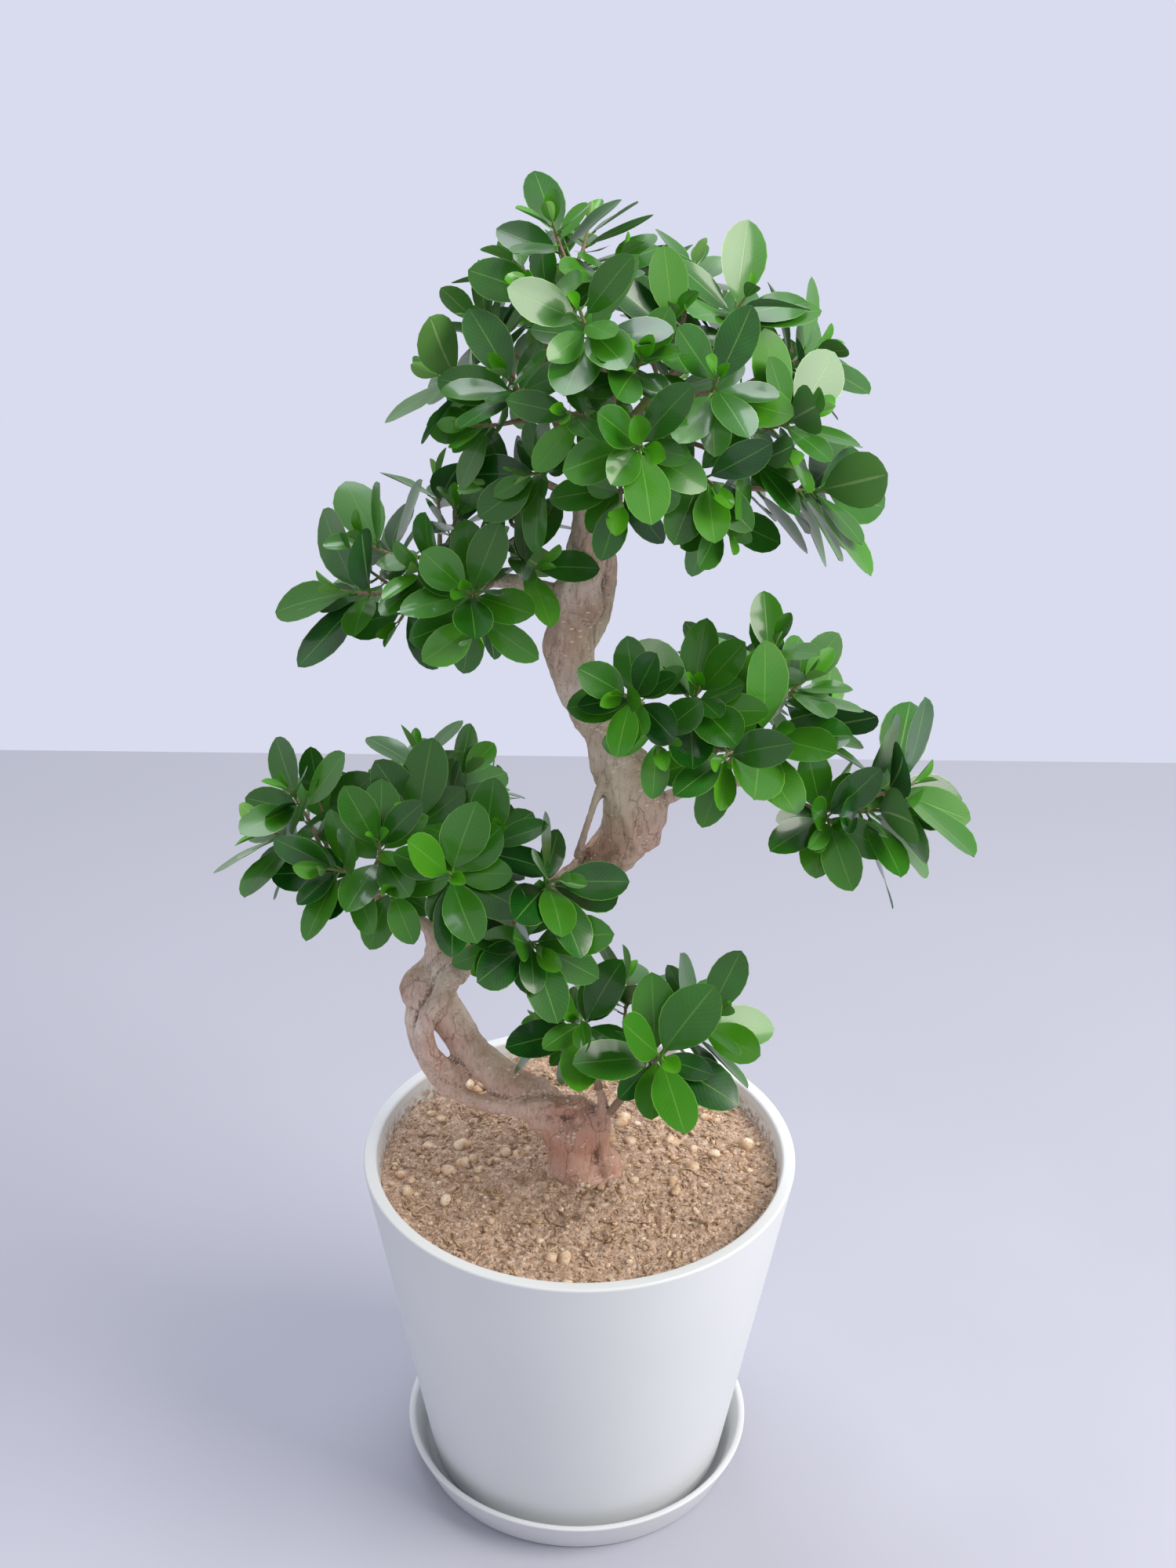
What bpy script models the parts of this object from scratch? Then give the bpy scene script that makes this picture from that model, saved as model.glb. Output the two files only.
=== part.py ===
"""An S-curved ficus bonsai growing in a tapered round pot that stands on its saucer.

Metres, +Z up. The origin is the middle of the saucer's underside, and -Y is the tree's front.
The old wood is one piece. Each leafy spray continues from a cut-like collar on that wood.
"""

import math

import bmesh
import bpy
from mathutils import Matrix, Vector
from mathutils.bvhtree import BVHTree

MM = 0.001
CLEARANCE = 0.3 * MM  # between pieces that touch

# Saucer
SAUCER_SPARE = 5.5 * MM  # room round the pot's foot
SAUCER_FLARE = 13.5 * MM  # from its foot out to its lip
SAUCER_HEIGHT = 28.5 * MM
SAUCER_WALL = 5 * MM
SAUCER_FLOOR = 4 * MM
SAUCER_CORNER = 7 * MM
SAUCER_FOOT_CUT = 3 * MM

# Pot, which stands in the saucer
POT_RIM_RADIUS = 150 * MM
POT_FOOT_RADIUS = 106 * MM
POT_HEIGHT = 257.5 * MM
POT_WALL = 9.2 * MM
POT_FLOOR = 10 * MM
POT_LIP_ROUND = 1.8 * MM
POT_FOOT_ROUND = 5 * MM
DRAIN_RADIUS = 11 * MM
TURNED_STEPS = 40

# Potting soil
SOIL_BELOW_RIM = 17 * MM
SOIL_MOUND = 5 * MM
MOUND_RINGS = (0, 0.25, 0.5, 0.75)

# Old wood
TREE_HEIGHT = 672 * MM  # from the soil to the topmost leaf
ROUTE_STEP = 17 * MM
ROOT_DEPTH = 62 * MM
STRAND_STEP = 1.2 * ROUTE_STEP
ROOT_GAP = 1.5 * CLEARANCE  # between the buried wood and the soil
COLLAR = 7 * MM  # how far a branch stub stands out of the wood that carries it
COLLAR_SWELL = 1.2  # a stub's root against the limb that goes on from it
CARRIER = 6  # drawn radius of the wood that carries a spray, where the spray gives none

# Shoots and leaves
SHOOT_BASE_RADIUS = 2.0 * MM
SHOOT_TIP_RADIUS = 1.3 * MM
SHOOT_PIECES = 2
INTERNODE = 3.2 * MM
LEAFY_SHARE = 0.85  # of a shoot's length, where the shoot is short
BUD = 5 * MM
BUD_TIP_RADIUS = 0.4 * MM
BUD_LEAVES = 2  # the youngest leaves of a shoot, still closed round its bud
LIMB_STEP = 12 * MM
FORK_CLEARANCE = 4 * MM  # from a limb's cut end to its first shoot
LEAF_TURN = 137.5  # degrees from one leaf to the next round a shoot
YOUNG_LENGTH = 0.62  # a shoot's first leaf against its longest
FULL_LENGTH_FROM = 2.5  # leaves down from the bud
OLD_FROM, OLD_SHRINK = 0.7, 0.12  # the oldest leaves of a shoot are a little smaller
LEAF_WIDTH = 0.56  # of a leaf's length
LEAF_SHOULDER = (0.34, 0.42)  # how far along the leaf, and how wide to one side
LEAF_BROAD_END = (0.72, 0.46)
LEAF_KEEL_AT = 0.5
LEAF_KEEL = 1.1 * MM
LEAF_DROOP = 0.10
LEAST_SPREAD = 22  # degrees between a shoot and its youngest leaf
MOST_SPREAD = 72
SPREAD_CURVE = 0.7
LIGHT = Vector((0, -0.3, 1)).normalized()
LIGHT_PULL = 0.5  # how much the leaves turn their faces to the light
LEAF_GUARD = 1.6 * MM  # free room kept above and below a leaf
LEAF_NECK = 0.12  # of a leaf's length, where leaves of one shoot may touch
SHOOT_TURN = 60.0  # degrees from one shoot's first leaf to the next shoot's
# What is tried, in turn, until a leaf or a shoot is clear of the rest.
TURNS_TRIED = [0, 18, -18, 36, -36, 54, -54, 72, -72]
SPREADS_TRIED = [0, -14, 14, -28]
SCALES_TRIED = [1.0, 0.85, 0.7]
SWINGS_TRIED = [0.45, 0.25, 0.65]

POT_BASE = SAUCER_FLOOR + CLEARANCE
RIM_HEIGHT = POT_BASE + POT_HEIGHT
SAUCER_FOOT_RADIUS = POT_FOOT_RADIUS + SAUCER_SPARE
SAUCER_LIP_RADIUS = SAUCER_FOOT_RADIUS + SAUCER_FLARE
SOIL_EDGE = RIM_HEIGHT - SOIL_BELOW_RIM
SOIL_TOP = SOIL_EDGE + SOIL_MOUND

# The routes below are drawn in millimetres for a tree of this height on soil at this level.
DRAWN_SOIL = 250
DRAWN_HEIGHT = 672
TREE_MM = TREE_HEIGHT / DRAWN_HEIGHT

# Routes of the old wood: x, y, z and radius.
MAIN_STEM = [
    (0, -13, 252, 22), (-5, -14, 278, 20), (-17, -13, 297, 16.5), (-34, -8, 312, 14),
    (-55, 0, 323, 13.5), (-71, 4, 336, 13.5), (-84, 8, 354, 13.5), (-95, 8, 372, 14),
    (-101, 4, 392, 17), (-90, 2, 409, 16), (-77, 0, 424, 14), (-60, 0, 437, 14),
    (-40, 2, 448, 14.5), (-21, 6, 456, 14.5), (-4, 8, 466, 15), (13, 8, 484, 16),
    (26, 4, 504, 18), (31, 0, 524, 19.5), (30, -2, 542, 19), (26, -2, 556, 18.5),
    (20, 0, 570, 18), (15, 2, 583, 16.5), (7, 4, 596, 15.5), (-2, 5, 610, 15.5),
    (-8, 5, 626, 16), (-10, 4, 644, 16), (-9, 2, 663, 14.5), (-5, 0, 681, 14.5),
    (0, 0, 697, 14), (3, 0, 712, 14), (5, 1, 726, 14), (3, 2, 742, 12), (1, 3, 758, 8),
]
FRONT_STRAND = [
    (2, -18, 312, 8), (-12, -23, 315, 7.5), (-26, -23, 313, 7), (-46, -19, 309, 6.5), (-69, -13, 309, 6.5),
    (-89, -9, 317, 6.5), (-102, -7, 333, 6.5), (-110, -5, 352, 6.5), (-113, -3, 370, 7), (-109, 1, 386, 8),
]
WRAPPING_STRAND = [
    (-78, -8, 418, 8), (-87, -15, 408, 8), (-92, -19, 396, 8), (-101, -18, 382, 7.5), (-105, -15, 367, 7.5),
    (-102, -13, 350, 7.5), (-93, -10, 336, 7.5), (-78, -5, 323, 7),
]
SIDE_STRAND = [(17, -8, 572, 4), (12, -14, 558, 3.4), (6, -12, 535, 3), (1, -6, 514, 3), (-3, 2, 492, 4)]
TWIN_STRAND = [(10, 5, 716, 6), (16, 6, 697, 5.5), (15, 7, 676, 5), (9, 8, 652, 5.5), (-1, 8, 628, 6)]
SHOOT_STEM = [(24, -23, 240, 8), (21, -24, 256, 7.5), (17, -24, 275, 5.5), (16, -23, 298, 4.5),
              (15, -22, 322, 4)]
UPPER_LEFT_BRANCH = [(-6, 2, 668, 8), (-26, 0, 680, 6.5), (-48, -2, 686, 5.5), (-72, -2, 686, 5),
                     (-92, -2, 681, 4.2)]
RIGHT_BRANCH = [(32, 0, 520, 9), (48, -2, 535, 6), (63, -6, 546, 5), (84, -10, 555, 4.6),
                (108, -12, 556, 4.2)]
LOWER_LEFT_BRANCH = [(-99, 2, 398, 9), (-97, -1, 424, 6.5), (-100, -3, 440, 5.5), (-112, -2, 452, 5),
                     (-132, -2, 463, 4.2)]
LOWER_LEFT_RISER = [(-98, 0, 430, 5.5), (-88, 0, 452, 4.6), (-84, 2, 474, 4), (-86, 4, 492, 3.6)]
ROOTS = [
    [(-2, -12, 262, 14), (-24, -24, 246, 8), (-50, -34, 228, 4)],
    [(2, -8, 262, 14), (-12, 20, 244, 8), (-26, 46, 222, 4)],
    [(4, -10, 262, 14), (26, 10, 242, 7), (52, 28, 216, 3.5)],
    [(6, -14, 262, 13), (16, -36, 243, 8), (30, -62, 220, 4)],
]
BURL_SIDES, BURL_RINGS = 10, 6
# Swellings: centre, half sizes, and lean about Y in degrees.
BURLS = [
    ((-1, -17, 288), (21, 18, 27), 35), ((-104, 1, 394), (17, 17, 22), 30), ((37, -4, 528),
    (19, 17, 23), 20),
    ((43, -6, 512), (9, 9, 11), 0), ((19, -22, 268), (10, 9, 12), 0), ((-4, 0, 676), (17, 15, 20), -10),
]

# Leafy sprays. "route" starts on the axis of the wood that carries the spray. Each shoot gives its
# tip (x, y, z, millimetres), the heading of its end in degrees (0 to the front, 90 to the right),
# its rise above level in degrees, its longest leaf in millimetres, and its number of leaves.
SPRAYS = {
    "crown_peak": {
        "carrier": 12,
        "route": [(1, 3, 752), (-4, 10, 792), (-8, 14, 838), (-10, 16, 868)],
        "shoots": [(-20, 8, 898, -35, 65, 45, 7), (0, 30, 893, 170, 60, 45, 6),
                   (-42, 26, 872, -110, 45, 46, 6),
                   (18, 10, 880, 60, 55, 44, 6), (-28, -20, 868, -25, 40, 46, 5)],
    },
    "crown_left": {
        "carrier": 12,
        "route": [(0, 1, 748), (-24, -8, 772), (-40, -14, 800)],
        "shoots": [(-44, -48, 826, -40, 50, 52, 7), (-84, -2, 812, -92, 18, 50, 7),
                   (-66, -30, 792, -65, 10, 42, 6),
                   (-58, 12, 838, -80, 55, 46, 6)],
    },
    "crown_front": {
        "carrier": 12,
        "route": [(1, -2, 744), (10, -34, 764), (16, -54, 790), (14, -52, 820)],
        "shoots": [(31, -95, 802, 6, 15, 48, 7), (-4, -62, 868, -12, 45, 50, 8),
                   (20, -76, 764, -10, -10, 42, 6),
                   (30, -66, 842, 10, 50, 42, 7), (-10, -84, 818, -25, 25, 40, 6)],
    },
    "crown_low_left": {
        "carrier": 12,
        "route": [(2, 0, 738), (-16, -18, 750), (-28, -32, 762)],
        "shoots": [(-30, -54, 772, -50, 0, 46, 7), (-52, -26, 758, -85, -5, 40, 5)],
    },
    "crown_right": {
        "carrier": 12,
        "route": [(2, 0, 748), (34, -16, 770), (66, -26, 790)],
        "shoots": [(72, -64, 832, 12, 40, 50, 7), (124, -30, 799, 80, 32, 56, 7),
                   (70, -78, 776, 20, 5, 44, 7),
                   (103, -58, 782, 50, 15, 40, 6)],
    },
    "crown_low_right": {
        "carrier": 12,
        "route": [(3, 1, 734), (34, -8, 736), (66, -14, 744), (96, -18, 752)],
        "shoots": [(144, -26, 754, 85, 4, 62, 8), (82, -44, 740, 35, -18, 44, 6),
                   (110, 14, 742, 105, 0, 50, 6)],
    },
    "crown_top_right": {
        "carrier": 12,
        "route": [(2, 4, 756), (34, 4, 796), (60, 4, 826)],
        "shoots": [(90, 6, 858, 40, 60, 56, 7), (48, -22, 852, 0, 58, 50, 7), (134, 30, 820, 90, 35, 50, 7),
                   (62, 34, 868, 150, 60, 50, 6)],
    },
    "crown_back_left": {
        "carrier": 12,
        "route": [(0, 6, 750), (-22, 34, 782), (-32, 56, 810)],
        "shoots": [(-66, 60, 828, -130, 40, 46, 7), (-24, 90, 834, 180, 45, 46, 7),
                   (-58, 74, 784, -140, 5, 46, 7),
                   (-16, 60, 866, 170, 65, 46, 6)],
    },
    "crown_back_right": {
        "carrier": 12,
        "route": [(3, 6, 744), (34, 34, 770), (52, 58, 796)],
        "shoots": [(30, 88, 846, 175, 50, 46, 7), (86, 76, 822, 140, 40, 46, 7),
                   (58, 96, 782, 165, 5, 46, 7),
                   (104, 56, 778, 120, 5, 44, 6), (14, 78, 770, 190, -10, 44, 6)],
    },
    "upper_left_tip": {
        "route": [(-90, -2, 682), (-108, -4, 678), (-122, -6, 678)],
        "shoots": [(-146, -12, 682, -75, 18, 60, 8), (-112, -14, 664, -40, -15, 44, 5),
                   (-132, 24, 680, -130, 20, 46, 6)],
    },
    "upper_left_high": {
        "route": [(-74, -2, 686), (-88, 4, 698), (-98, 10, 710)],
        "shoots": [(-132, 4, 706, -70, 45, 54, 7), (-92, 36, 734, 200, 60, 42, 6),
                   (-78, 4, 728, -15, 72, 46, 7)],
    },
    "upper_left_front": {
        "route": [(-54, -2, 686), (-60, -22, 690), (-64, -38, 692)],
        "shoots": [(-68, -58, 701, -5, 38, 46, 8), (-62, -62, 680, 2, -12, 44, 6),
                   (-96, -40, 706, -45, 30, 44, 6)],
    },
    "upper_left_inner": {
        "route": [(-36, -1, 684), (-38, -4, 700), (-38, 0, 716)],
        "shoots": [(-30, -30, 704, 55, 30, 46, 7), (-44, 26, 722, 100, 60, 44, 7),
                   (-52, 46, 694, 180, 10, 44, 6)],
    },
    "right_inner": {
        "route": [(62, -6, 545), (58, -18, 574), (50, -30, 602)],
        "shoots": [(24, -60, 637, -25, 22, 42, 8), (70, -28, 628, -5, 50, 54, 8),
                   (44, -56, 604, 10, -5, 40, 5)],
    },
    "right_middle": {
        "route": [(84, -10, 555), (96, -18, 578), (102, -20, 598)],
        "shoots": [(116, -16, 592, 20, 45, 60, 8), (86, -52, 591, 0, 8, 48, 7),
                   (138, 16, 614, 60, 50, 48, 7),
                   (94, -6, 622, -10, 65, 42, 6)],
    },
    "right_back": {
        "route": [(72, -8, 550), (88, 12, 578), (104, 24, 606)],
        "shoots": [(120, 30, 631, 15, 68, 44, 7), (158, 40, 574, 110, 35, 52, 7),
                   (90, 58, 606, 170, 30, 46, 7),
                   (124, 66, 588, 150, 15, 46, 7)],
    },
    "right_tip": {
        "route": [(106, -12, 556), (128, -16, 546), (148, -16, 538)],
        "shoots": [(155, -38, 541, 15, 12, 50, 8), (194, -14, 538, 74, 10, 72, 7),
                   (208, -4, 551, 84, 26, 68, 6),
                   (164, 22, 540, 120, 5, 46, 5)],
    },
    "lower_left_outer": {
        "route": [(-130, -2, 462), (-148, -2, 474), (-166, 0, 490)],
        "shoots": [(-188, 8, 536, -70, 60, 50, 7), (-200, -4, 512, -90, 15, 54, 8),
                   (-172, 22, 520, -40, 55, 46, 6),
                   (-182, 34, 498, -135, 10, 46, 6)],
    },
    "lower_left_front": {
        "route": [(-114, -2, 453), (-128, -18, 468), (-138, -22, 484)],
        "shoots": [(-160, -36, 503, -35, 15, 50, 8), (-128, -30, 520, -15, 50, 50, 7),
                   (-118, -52, 497, 0, 15, 42, 5)],
    },
    "lower_left_top": {
        "route": [(-86, 4, 490), (-94, 8, 508), (-102, 12, 522)],
        "shoots": [(-108, -12, 524, 5, 55, 58, 7), (-108, 42, 545, 200, 70, 44, 7),
                   (-132, 44, 516, -150, 30, 46, 7),
                   (-78, 32, 536, 100, 55, 46, 7)],
    },
    "lower_left_middle": {
        "route": [(-85, 2, 470), (-78, -16, 482), (-76, -32, 494)],
        "shoots": [(-82, -60, 514, 10, 28, 54, 8), (-58, -30, 522, 40, 50, 46, 7)],
    },
    "lower_left_back": {
        "route": [(-86, 1, 460), (-84, 22, 474), (-88, 40, 490)],
        "shoots": [(-96, 72, 508, 190, 25, 46, 7), (-60, 56, 506, 140, 20, 46, 7),
                   (-66, 20, 512, 90, 35, 42, 5)],
    },
    "knee_shoot": {
        "carrier": 15,
        "route": [(-32, 3, 453), (-28, -22, 472), (-24, -30, 486)],
        "shoots": [(-16, -42, 501, 60, 25, 54, 7)],
    },
    "hanging_shoot": {
        "carrier": 15,
        "route": [(-44, 1, 446), (-40, -26, 450), (-36, -34, 453)],
        "shoots": [(-30, -52, 457, 25, 8, 54, 8), (-52, -42, 447, -30, -10, 40, 5)],
    },
    "low_left": {
        "route": [(15, -22, 318), (10, -24, 342), (4, -26, 366)],
        "shoots": [(0, -36, 393, -15, 35, 54, 7), (-20, 2, 366, -80, 15, 48, 6)],
    },
    "low_right": {
        "route": [(16, -23, 302), (32, -32, 334), (44, -36, 358)],
        "shoots": [(54, -62, 382, 8, 30, 62, 8), (88, -16, 384, 70, 42, 56, 8),
                   (32, 22, 386, 165, 45, 50, 7),
                   (62, 12, 366, 120, 15, 46, 6)],
    },
}
LIMB_BASE_RADIUS = 3.6
LIMB_TIP_RADIUS = 2.2

for leftover in list(bpy.data.objects):
    bpy.data.objects.remove(leftover)

parts = bpy.data.collections.new("potted_ficus_bonsai")
helpers = bpy.data.collections.new("joined_and_cut")
for group in (parts, helpers):
    bpy.context.scene.collection.children.link(group)


def material(name, colour, roughness):
    made = bpy.data.materials.new(name)
    made.use_nodes = True
    shader = made.node_tree.nodes["Principled BSDF"]
    shader.inputs["Base Color"].default_value = (*colour, 1.0)
    shader.inputs["Roughness"].default_value = roughness
    shader.inputs["Metallic"].default_value = 0.0
    return made


SAUCER_WHITE = material("saucer_white", (0.74, 0.74, 0.75), 0.6)
POT_WHITE = material("pot_white", (0.72, 0.75, 0.79), 0.55)
SOIL_BROWN = material("soil_brown", (0.31, 0.20, 0.12), 0.95)
BARK = material("bark", (0.38, 0.26, 0.18), 0.85)
LEAF_GREEN = material("leaf_green", (0.03, 0.16, 0.02), 0.35)


def add_object(name, data, finish, collection=parts):
    made = bpy.data.objects.new(name, data)
    collection.objects.link(made)
    if finish and not data.materials:
        data.materials.append(finish)
    if collection is helpers:
        made.hide_render = True
        made.display_type = "WIRE"
    return made


def arc(centre_r, centre_z, radius, start, end, pieces=4):
    """Points (r, z) of an arc, by angle in degrees from the +r direction."""
    angles = [math.radians(start + (end - start) * i / pieces) for i in range(pieces + 1)]
    return [(centre_r + radius * math.cos(a), centre_z + radius * math.sin(a)) for a in angles]


def turned(name, outline, finish, closed=False, collection=parts):
    """A body turned about Z from its half outline (r, z), which runs down the outer side."""
    count = len(outline)
    edges = [(i, (i + 1) % count) for i in range(count if closed else count - 1)]
    mesh = bpy.data.meshes.new(name)
    mesh.from_pydata([(r, 0.0, z) for r, z in outline], edges, [])
    body = add_object(name, mesh, finish, collection)
    screw = body.modifiers.new("turn", "SCREW")
    screw.steps = screw.render_steps = TURNED_STEPS
    screw.use_merge_vertices = True
    screw.merge_threshold = 0.01 * MM
    screw.use_smooth_shade = True
    return body


def tree_point(x, y, z):
    """A drawn point of the tree, in metres on the real soil."""
    return Vector((x * TREE_MM, y * TREE_MM, SOIL_TOP + (z - DRAWN_SOIL) * TREE_MM))


def smooth_route(points, step=ROUTE_STEP):
    """A drawn route of (x, y, z, radius) as evenly spaced (Vector, radius) in metres."""
    rows = [Vector((*tree_point(x, y, z), radius * TREE_MM)) for x, y, z, radius in points]
    rows = [2 * rows[0] - rows[1], *rows, 2 * rows[-1] - rows[-2]]
    made = []
    for a, b, c, d in zip(rows, rows[1:], rows[2:], rows[3:], strict=False):
        pieces = max(1, round((c - b).xyz.length / step))
        for i in range(pieces):
            t = i / pieces
            made.append(0.5 * (2 * b + (c - a) * t + (2 * a - 5 * b + 4 * c - d) * t**2
                               + (3 * b - a - 3 * c + d) * t**3))
    made.append(rows[-2])
    return [(row.xyz, row.w) for row in made]


def lengthened(route, extra):
    """The same route with both ends moved out by a distance."""
    (first, first_radius), (second, _) = route[:2]
    (before, _), (last, last_radius) = route[-2:]
    start = first + (first - second).normalized() * extra
    end = last + (last - before).normalized() * extra
    return [(start, first_radius), *route[1:-1], (end, last_radius)]


def tube(name, route, finish=BARK, extra=0.0, resolution=3, collection=helpers):
    """A round stem along a route of (point, radius), made a closed mesh."""
    curve = bpy.data.curves.new(name + "_line", "CURVE")
    curve.dimensions = "3D"
    curve.bevel_depth = 1.0
    curve.bevel_resolution = resolution
    curve.use_fill_caps = True
    spline = curve.splines.new("POLY")
    spline.points.add(len(route) - 1)
    for point, (place, radius) in zip(spline.points, lengthened(route, extra), strict=True):
        point.co = (*place, 1.0)
        point.radius = radius + extra
    line = add_object(name + "_line", curve, None, helpers)
    bpy.context.view_layer.update()
    graph = bpy.context.evaluated_depsgraph_get()
    mesh = bpy.data.meshes.new_from_object(line.evaluated_get(graph))
    bpy.data.objects.remove(line)
    mesh.name = name
    whole = bmesh.new()
    whole.from_mesh(mesh)
    bmesh.ops.remove_doubles(whole, verts=whole.verts, dist=0.01 * MM)
    bmesh.ops.recalc_face_normals(whole, faces=whole.faces)
    whole.to_mesh(mesh)
    whole.free()
    mesh.shade_smooth()
    return add_object(name, mesh, finish, collection)


def burl(name, centre, half_sizes, lean, extra=0.0):
    """A swelling of the wood: a stretched ball."""
    ball = bmesh.new()
    bmesh.ops.create_uvsphere(ball, u_segments=BURL_SIDES, v_segments=BURL_RINGS, radius=1.0)
    sizes = [s * TREE_MM + extra for s in half_sizes]
    turn = Matrix.Rotation(math.radians(lean), 3, "Y")
    place = Matrix.LocRotScale(tree_point(*centre), turn, Vector(sizes))
    bmesh.ops.transform(ball, matrix=place, verts=ball.verts)
    mesh = bpy.data.meshes.new(name)
    ball.to_mesh(mesh)
    ball.free()
    return add_object(name, mesh, BARK, helpers)


def joined(name, pieces, finish):
    """Several closed meshes as one helper object, for a Boolean to unite or cut with."""
    whole = bmesh.new()
    for piece in pieces:
        whole.from_mesh(piece.data)
        bpy.data.objects.remove(piece)
    mesh = bpy.data.meshes.new(name)
    whole.to_mesh(mesh)
    whole.free()
    return add_object(name, mesh, finish, helpers)


def combine(body, other, operation):
    change = body.modifiers.new(operation.lower(), "BOOLEAN")
    change.operation = operation
    change.object = other
    change.solver = "EXACT"
    change.use_self = True


# ---- Saucer, pot and soil ------------------------------------------------------------------------


def make_saucer():
    lip, foot = SAUCER_LIP_RADIUS, SAUCER_FOOT_RADIUS
    half = SAUCER_WALL / 2
    outline = [(0.0, SAUCER_FLOOR)]
    outline += arc(foot - half - SAUCER_CORNER, SAUCER_FLOOR + SAUCER_CORNER, SAUCER_CORNER, -90, -15, 3)
    outline += arc(lip - half, SAUCER_HEIGHT - half, half, 180, 0, 4)
    outline += [(foot + SAUCER_FOOT_CUT / 2, SAUCER_FOOT_CUT), (foot, 0.0), (0.0, 0.0)]
    return turned("saucer", outline, SAUCER_WHITE)


def pot_outer_radius(height):
    """Outer radius of the pot at a height above its own underside."""
    return POT_FOOT_RADIUS + (POT_RIM_RADIUS - POT_FOOT_RADIUS) * height / POT_HEIGHT


def make_pot():
    top, round_ = POT_HEIGHT, POT_LIP_ROUND
    outer, inner = POT_RIM_RADIUS, POT_RIM_RADIUS - POT_WALL
    outline = arc(inner + round_, top - round_, round_, 180, 90, 2)
    outline += arc(outer - round_, top - round_, round_, 90, -8, 2)
    outline += arc(pot_outer_radius(0) - POT_FOOT_ROUND, POT_FOOT_ROUND, POT_FOOT_ROUND, -8, -90, 3)
    outline += [(DRAIN_RADIUS, 0.0), (DRAIN_RADIUS, POT_FLOOR)]
    outline += [(pot_outer_radius(POT_FLOOR) - POT_WALL, POT_FLOOR)]
    return turned("pot", [(r, z + POT_BASE) for r, z in outline], POT_WHITE, closed=True)


def soil_radius(height):
    """Radius of the soil at a height above the floor it stands on: it fills the pot."""
    return pot_outer_radius(height - POT_BASE) - POT_WALL - CLEARANCE


def make_soil(root_hole):
    bottom = POT_BASE + POT_FLOOR + CLEARANCE
    edge = soil_radius(SOIL_EDGE)
    mound = [(edge * share, SOIL_EDGE + SOIL_MOUND * math.cos(share * math.pi / 2))
             for share in MOUND_RINGS]
    outline = [*mound, (edge, SOIL_EDGE), (soil_radius(bottom), bottom), (0.0, bottom)]
    soil = turned("soil", outline, SOIL_BROWN)
    combine(soil, root_hole, "DIFFERENCE")
    return soil


# ---- Old wood ------------------------------------------------------------------------------------


def spray_routes(spray):
    """The stub that stays on the old wood, and the limb that goes on from it, as (point, radius)."""
    count = len(spray["route"])
    taper = (LIMB_TIP_RADIUS - LIMB_BASE_RADIUS) / (count - 1)
    points = [(*point, LIMB_BASE_RADIUS + taper * i) for i, point in enumerate(spray["route"])]
    route = smooth_route(points, LIMB_STEP)
    seat = spray.get("carrier", CARRIER) * TREE_MM + COLLAR
    walked = 0.0
    for number, ((a, ra), (b, rb)) in enumerate(zip(route, route[1:], strict=False)):
        span = (b - a).length
        if walked + span >= seat:
            share = (seat - walked) / span
            end, radius = a.lerp(b, share), ra + (rb - ra) * share
            far = (b - end).length > FORK_CLEARANCE
            rest = route[number + 1 if far else number + 2:]
            onward = (rest[0][0] - end).normalized()
            stub = [(route[0][0], ra * COLLAR_SWELL), (end - onward * COLLAR / 2, radius), (end, radius)]
            return stub, [(end + onward * CLEARANCE, radius), *rest]
        walked += span
    raise ValueError("the spray's route ends inside the wood that carries it")


def make_wood():
    """The trunk with its fused strands, burls, roots and branches, and the hole it needs in the soil."""
    deep = ROOT_DEPTH / TREE_MM
    foot = [(-4, -10, DRAWN_SOIL - deep, 8), (-2, -12, DRAWN_SOIL - deep / 2, 16)]
    trunk = tube("trunk", smooth_route([*foot, *MAIN_STEM]), resolution=3, collection=parts)
    strands = {"front_strand": FRONT_STRAND, "wrapping_strand": WRAPPING_STRAND, "side_strand": SIDE_STRAND,
               "twin_strand": TWIN_STRAND, "shoot_stem": SHOOT_STEM, "upper_left_branch": UPPER_LEFT_BRANCH,
               "right_branch": RIGHT_BRANCH, "lower_left_branch": LOWER_LEFT_BRANCH,
               "lower_left_riser": LOWER_LEFT_RISER}
    grown = [tube(name, smooth_route(route, STRAND_STEP), resolution=1) for name, route in strands.items()]
    grown += [tube(f"root_{i}", smooth_route(route), resolution=1) for i, route in enumerate(ROOTS)]
    grown += [burl(f"burl_{i}", *sizes) for i, sizes in enumerate(BURLS)]
    grown += [tube(f"{name}_stub", spray_routes(spray)[0], resolution=1) for name, spray in SPRAYS.items()]
    combine(trunk, joined("grown_on_trunk", grown, BARK), "UNION")

    buried = [tube("foot_hole", smooth_route([*foot, *MAIN_STEM]), extra=ROOT_GAP, resolution=3)]
    buried += [tube(f"root_{i}_hole", smooth_route(route), extra=ROOT_GAP, resolution=1)
               for i, route in enumerate(ROOTS)]
    buried += [tube("stem_hole", smooth_route(SHOOT_STEM), extra=ROOT_GAP, resolution=1)]
    buried += [burl(f"burl_{i}_hole", *sizes, extra=ROOT_GAP) for i, sizes in enumerate(BURLS)]
    return trunk, joined("root_hole", buried, None)


# ---- Leafy sprays --------------------------------------------------------------------------------


def direction(heading, rise):
    """Unit vector from a heading (0 to the front, 90 to the right) and a rise, in degrees."""
    h, r = math.radians(heading), math.radians(rise)
    return Vector((math.sin(h) * math.cos(r), -math.cos(h) * math.cos(r), math.sin(r)))


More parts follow.
